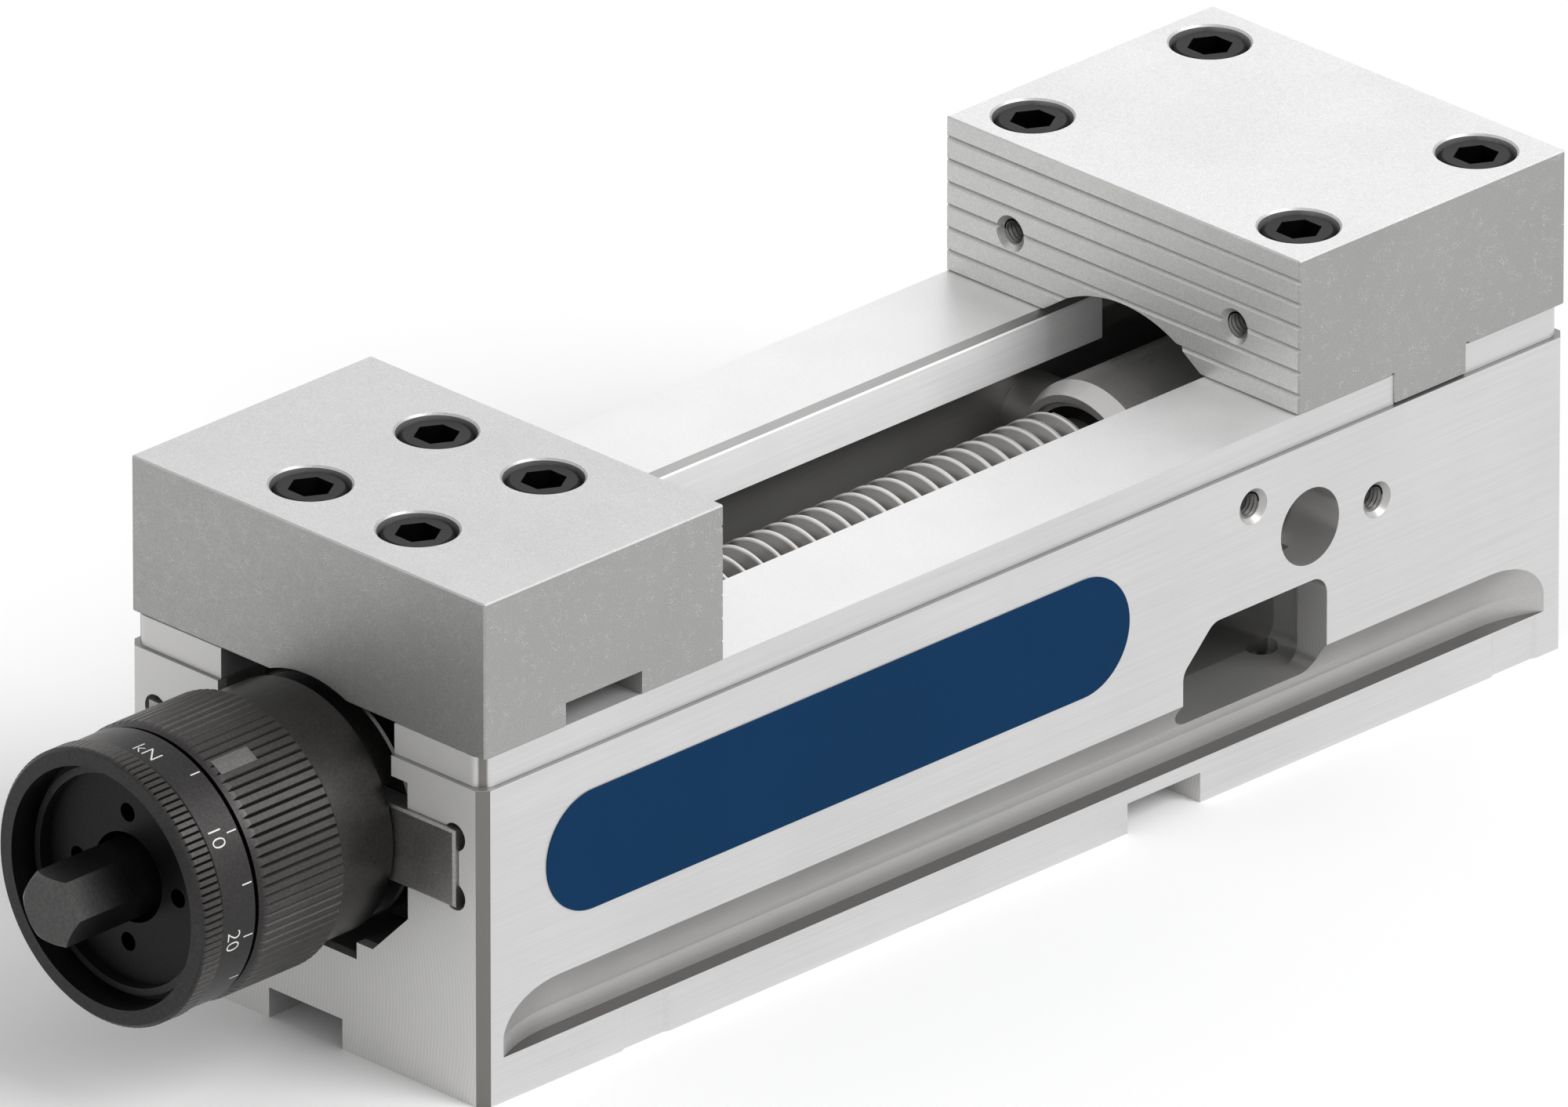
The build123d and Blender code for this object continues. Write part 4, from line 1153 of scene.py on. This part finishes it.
@dataclass
class FixedBase:
    """The base body with the fixed jaw, the rear support and the label."""

    workshop: Workshop
    holes: TappedHoles
    paints: dict[str, Paint] = field(
        default_factory=lambda: {
            "base_body": Paint.BASE,
            "fixed_jaw": Paint.FIXED_JAW,
            "fixed_jaw_screws": Paint.BLACK,
            "right_retaining_key": Paint.PLATE,
            "left_retaining_key": Paint.PLATE,
            "rear_support": Paint.TURNED,
            "rear_bush": Paint.BLACK,
            "cross_bolt": Paint.TURNED,
            "side_label": Paint.LABEL,
        }
    )

    def build(self) -> None:
        """Dresses the nodes and adds the threads of the tapped holes."""
        self.workshop.dress_nodes(self.paints)
        for mount in frame["record"]["mounts"]:
            if mount["kind"] == "threaded_hole":
                inwards = -Vector(mount["axis"])
                name = mount["name"] + "_thread"
                mouth = Vector((BASE_HIGH.x, *mount["pos_m"][1:]))
                depth = self.holes.long_depth
                self.holes.thread(name, mouth, inwards, depth, "base", "ground_steel")
        face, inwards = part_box("fixed_jaw")[0].y, Vector((0.0, 1.0, 0.0))
        self._jaw_holes("fixed_jaw", face, inwards, self.holes.short_depth, "base")

    def _jaw_holes(self, name: str, face: float, inwards: Vector, depth: float, body: str) -> None:
        """Adds the two threads of a jaw's face.

        Args:
            name: node name of the jaw.
            face: place of its face along Y.
            inwards: unit vector into the holes.
            depth: length of each thread with its mouth.
            body: CAD body of the jaw.
        """
        mount = next(m for m in frame["record"]["mounts"] if m["name"] == name + "_plate_holes")
        reach = mount["dims"]["spacing_x_mm"] * MM / 2
        for label, across in (("left", -reach), ("right", reach)):
            mouth = Vector((across, face, mount["pos_m"][2]))
            thread = f"{name}_{label}_thread"
            self.holes.thread(thread, mouth, inwards, depth, body, "blasted_steel")


@dataclass
class MovingSlide(FixedBase):
    """The carriage with its nut and wiper, and the moving jaw."""

    paints: dict[str, Paint] = field(
        default_factory=lambda: {
            "carriage": Paint.SLIDE,
            "front_wiper": Paint.WIPER,
            "spindle_nut": Paint.BRONZE,
            "nut_ring": Paint.PLATE,
            "moving_jaw": Paint.JAW,
            "moving_jaw_screws": Paint.BLACK,
        }
    )

    def build(self) -> None:
        """Dresses the nodes and adds the threads of the jaw's holes."""
        self.workshop.dress_nodes(self.paints)
        face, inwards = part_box("moving_jaw")[1].y, Vector((0.0, -1.0, 0.0))
        self._jaw_holes("moving_jaw", face, inwards, self.holes.long_depth, "slide")


@dataclass
class Studio:
    """Floor, lamp, sky and camera.

    The middle of the picture shows centre, and its scale holds depth_to_middle behind that.
    """

    azimuth: float = 45.0
    elevation: float = 25.0
    image_width: int = 2000
    pixels_per_metre: float = 5303.3
    centre: Place = (0.07131, -0.14047, 0.12036)
    depth_to_middle: float = 0.102
    distance: float = 12.46
    sensor: float = 36.0
    clip: Span = (0.1, 100.0)
    floor_size: float = 8.0
    floor_colour: Colour = (0.86, 0.86, 0.86)
    floor_roughness: float = 0.9
    sky_colour: Colour = (1.0, 1.0, 1.0)
    sky_strength: float = 0.75
    sun_strength: float = 2.1
    sun_from: Place = (0.8, 0.25, 0.75)
    sun_angle: float = 35.0

    def build(self) -> None:
        """Builds the whole studio."""
        bpy.context.scene.view_settings.view_transform = "Standard"
        self._floor()
        self._sky()
        self._sun()
        self._camera()

    def _floor(self) -> None:
        """Adds the floor: a grid of two by two points in the plane that the base stands on."""
        span = np.array([-0.5, 0.5]) * self.floor_size
        x, y = np.meshgrid(span, span)
        points = np.stack([x, y, np.zeros_like(x)], axis=-1).reshape(-1, 3)
        mesh = bpy.data.meshes.new("floor")
        mesh.from_pydata(points.tolist(), [], grid_faces(2, 2).tolist())
        floor = bpy.data.objects.new("floor", mesh)
        bpy.context.scene.collection.objects.link(floor)
        material = bpy.data.materials.new("pale_floor")
        material.use_nodes = True
        shader = material.node_tree.nodes["Principled BSDF"]
        shader.inputs["Base Color"].default_value = (*self.floor_colour, 1.0)
        shader.inputs["Roughness"].default_value = self.floor_roughness
        mesh.materials.append(material)

    def _sky(self) -> None:
        """Sets the sky: white for the camera and for reflections, softer as a light."""
        world = bpy.data.worlds.new("sky")
        world.use_nodes = True
        bpy.context.scene.world = world
        graph = Graph(world.node_tree)
        background = next(n for n in world.node_tree.nodes if n.type == "BACKGROUND")
        path = graph.add("ShaderNodeLightPath")
        rays = path.outputs
        sharp = graph.math("MAXIMUM", rays["Is Glossy Ray"], rays["Is Transmission Ray"])
        shown = graph.math("MAXIMUM", rays["Is Camera Ray"], sharp)
        strength = graph.span(shown, 0.0, 1.0, self.sky_strength, 1.0)
        graph.feed(background.inputs["Color"], self.sky_colour)
        graph.feed(background.inputs["Strength"], strength)

    def _sun(self) -> None:
        """Adds one broad, soft lamp from the right."""
        lamp = bpy.data.lights.new("soft_key", "SUN")
        lamp.energy = self.sun_strength
        lamp.angle = math.radians(self.sun_angle)
        carrier = bpy.data.objects.new("soft_key", lamp)
        carrier.rotation_mode = "QUATERNION"
        carrier.rotation_quaternion = (-Vector(self.sun_from)).to_track_quat("-Z", "Y")
        bpy.context.scene.collection.objects.link(carrier)

    def _camera(self) -> None:
        """Adds the camera: a long lens far away, because the photograph is a parallel view."""
        turn, rise = math.radians(self.azimuth), math.radians(self.elevation)
        back = Vector(
            (math.sin(turn) * math.cos(rise), -math.cos(turn) * math.cos(rise), math.sin(rise))
        )
        camera = bpy.data.cameras.new("camera")
        camera.sensor_width = self.sensor
        camera.lens = self.sensor * self.distance * self.pixels_per_metre / self.image_width
        camera.clip_start, camera.clip_end = self.clip
        carrier = bpy.data.objects.new("camera", camera)
        carrier.location = Vector(self.centre) + back * (self.distance - self.depth_to_middle)
        carrier.rotation_mode = "QUATERNION"
        carrier.rotation_quaternion = (-back).to_track_quat("-Z", "Y")
        bpy.context.scene.collection.objects.link(carrier)
        bpy.context.scene.camera = carrier


def main() -> None:
    """Builds the studio and dresses the vise, one sub-assembly after the other."""
    logging.basicConfig(level=logging.INFO, format="%(name)s: %(message)s")
    Studio().build()
    workshop = Workshop()
    holes = TappedHoles(workshop)
    FixedBase(workshop, holes).build()
    MovingSlide(workshop, holes).build()
    SpindleDrive(workshop).build()
    ClampingHead(workshop).build()


if __name__ == "__main__":
    main()
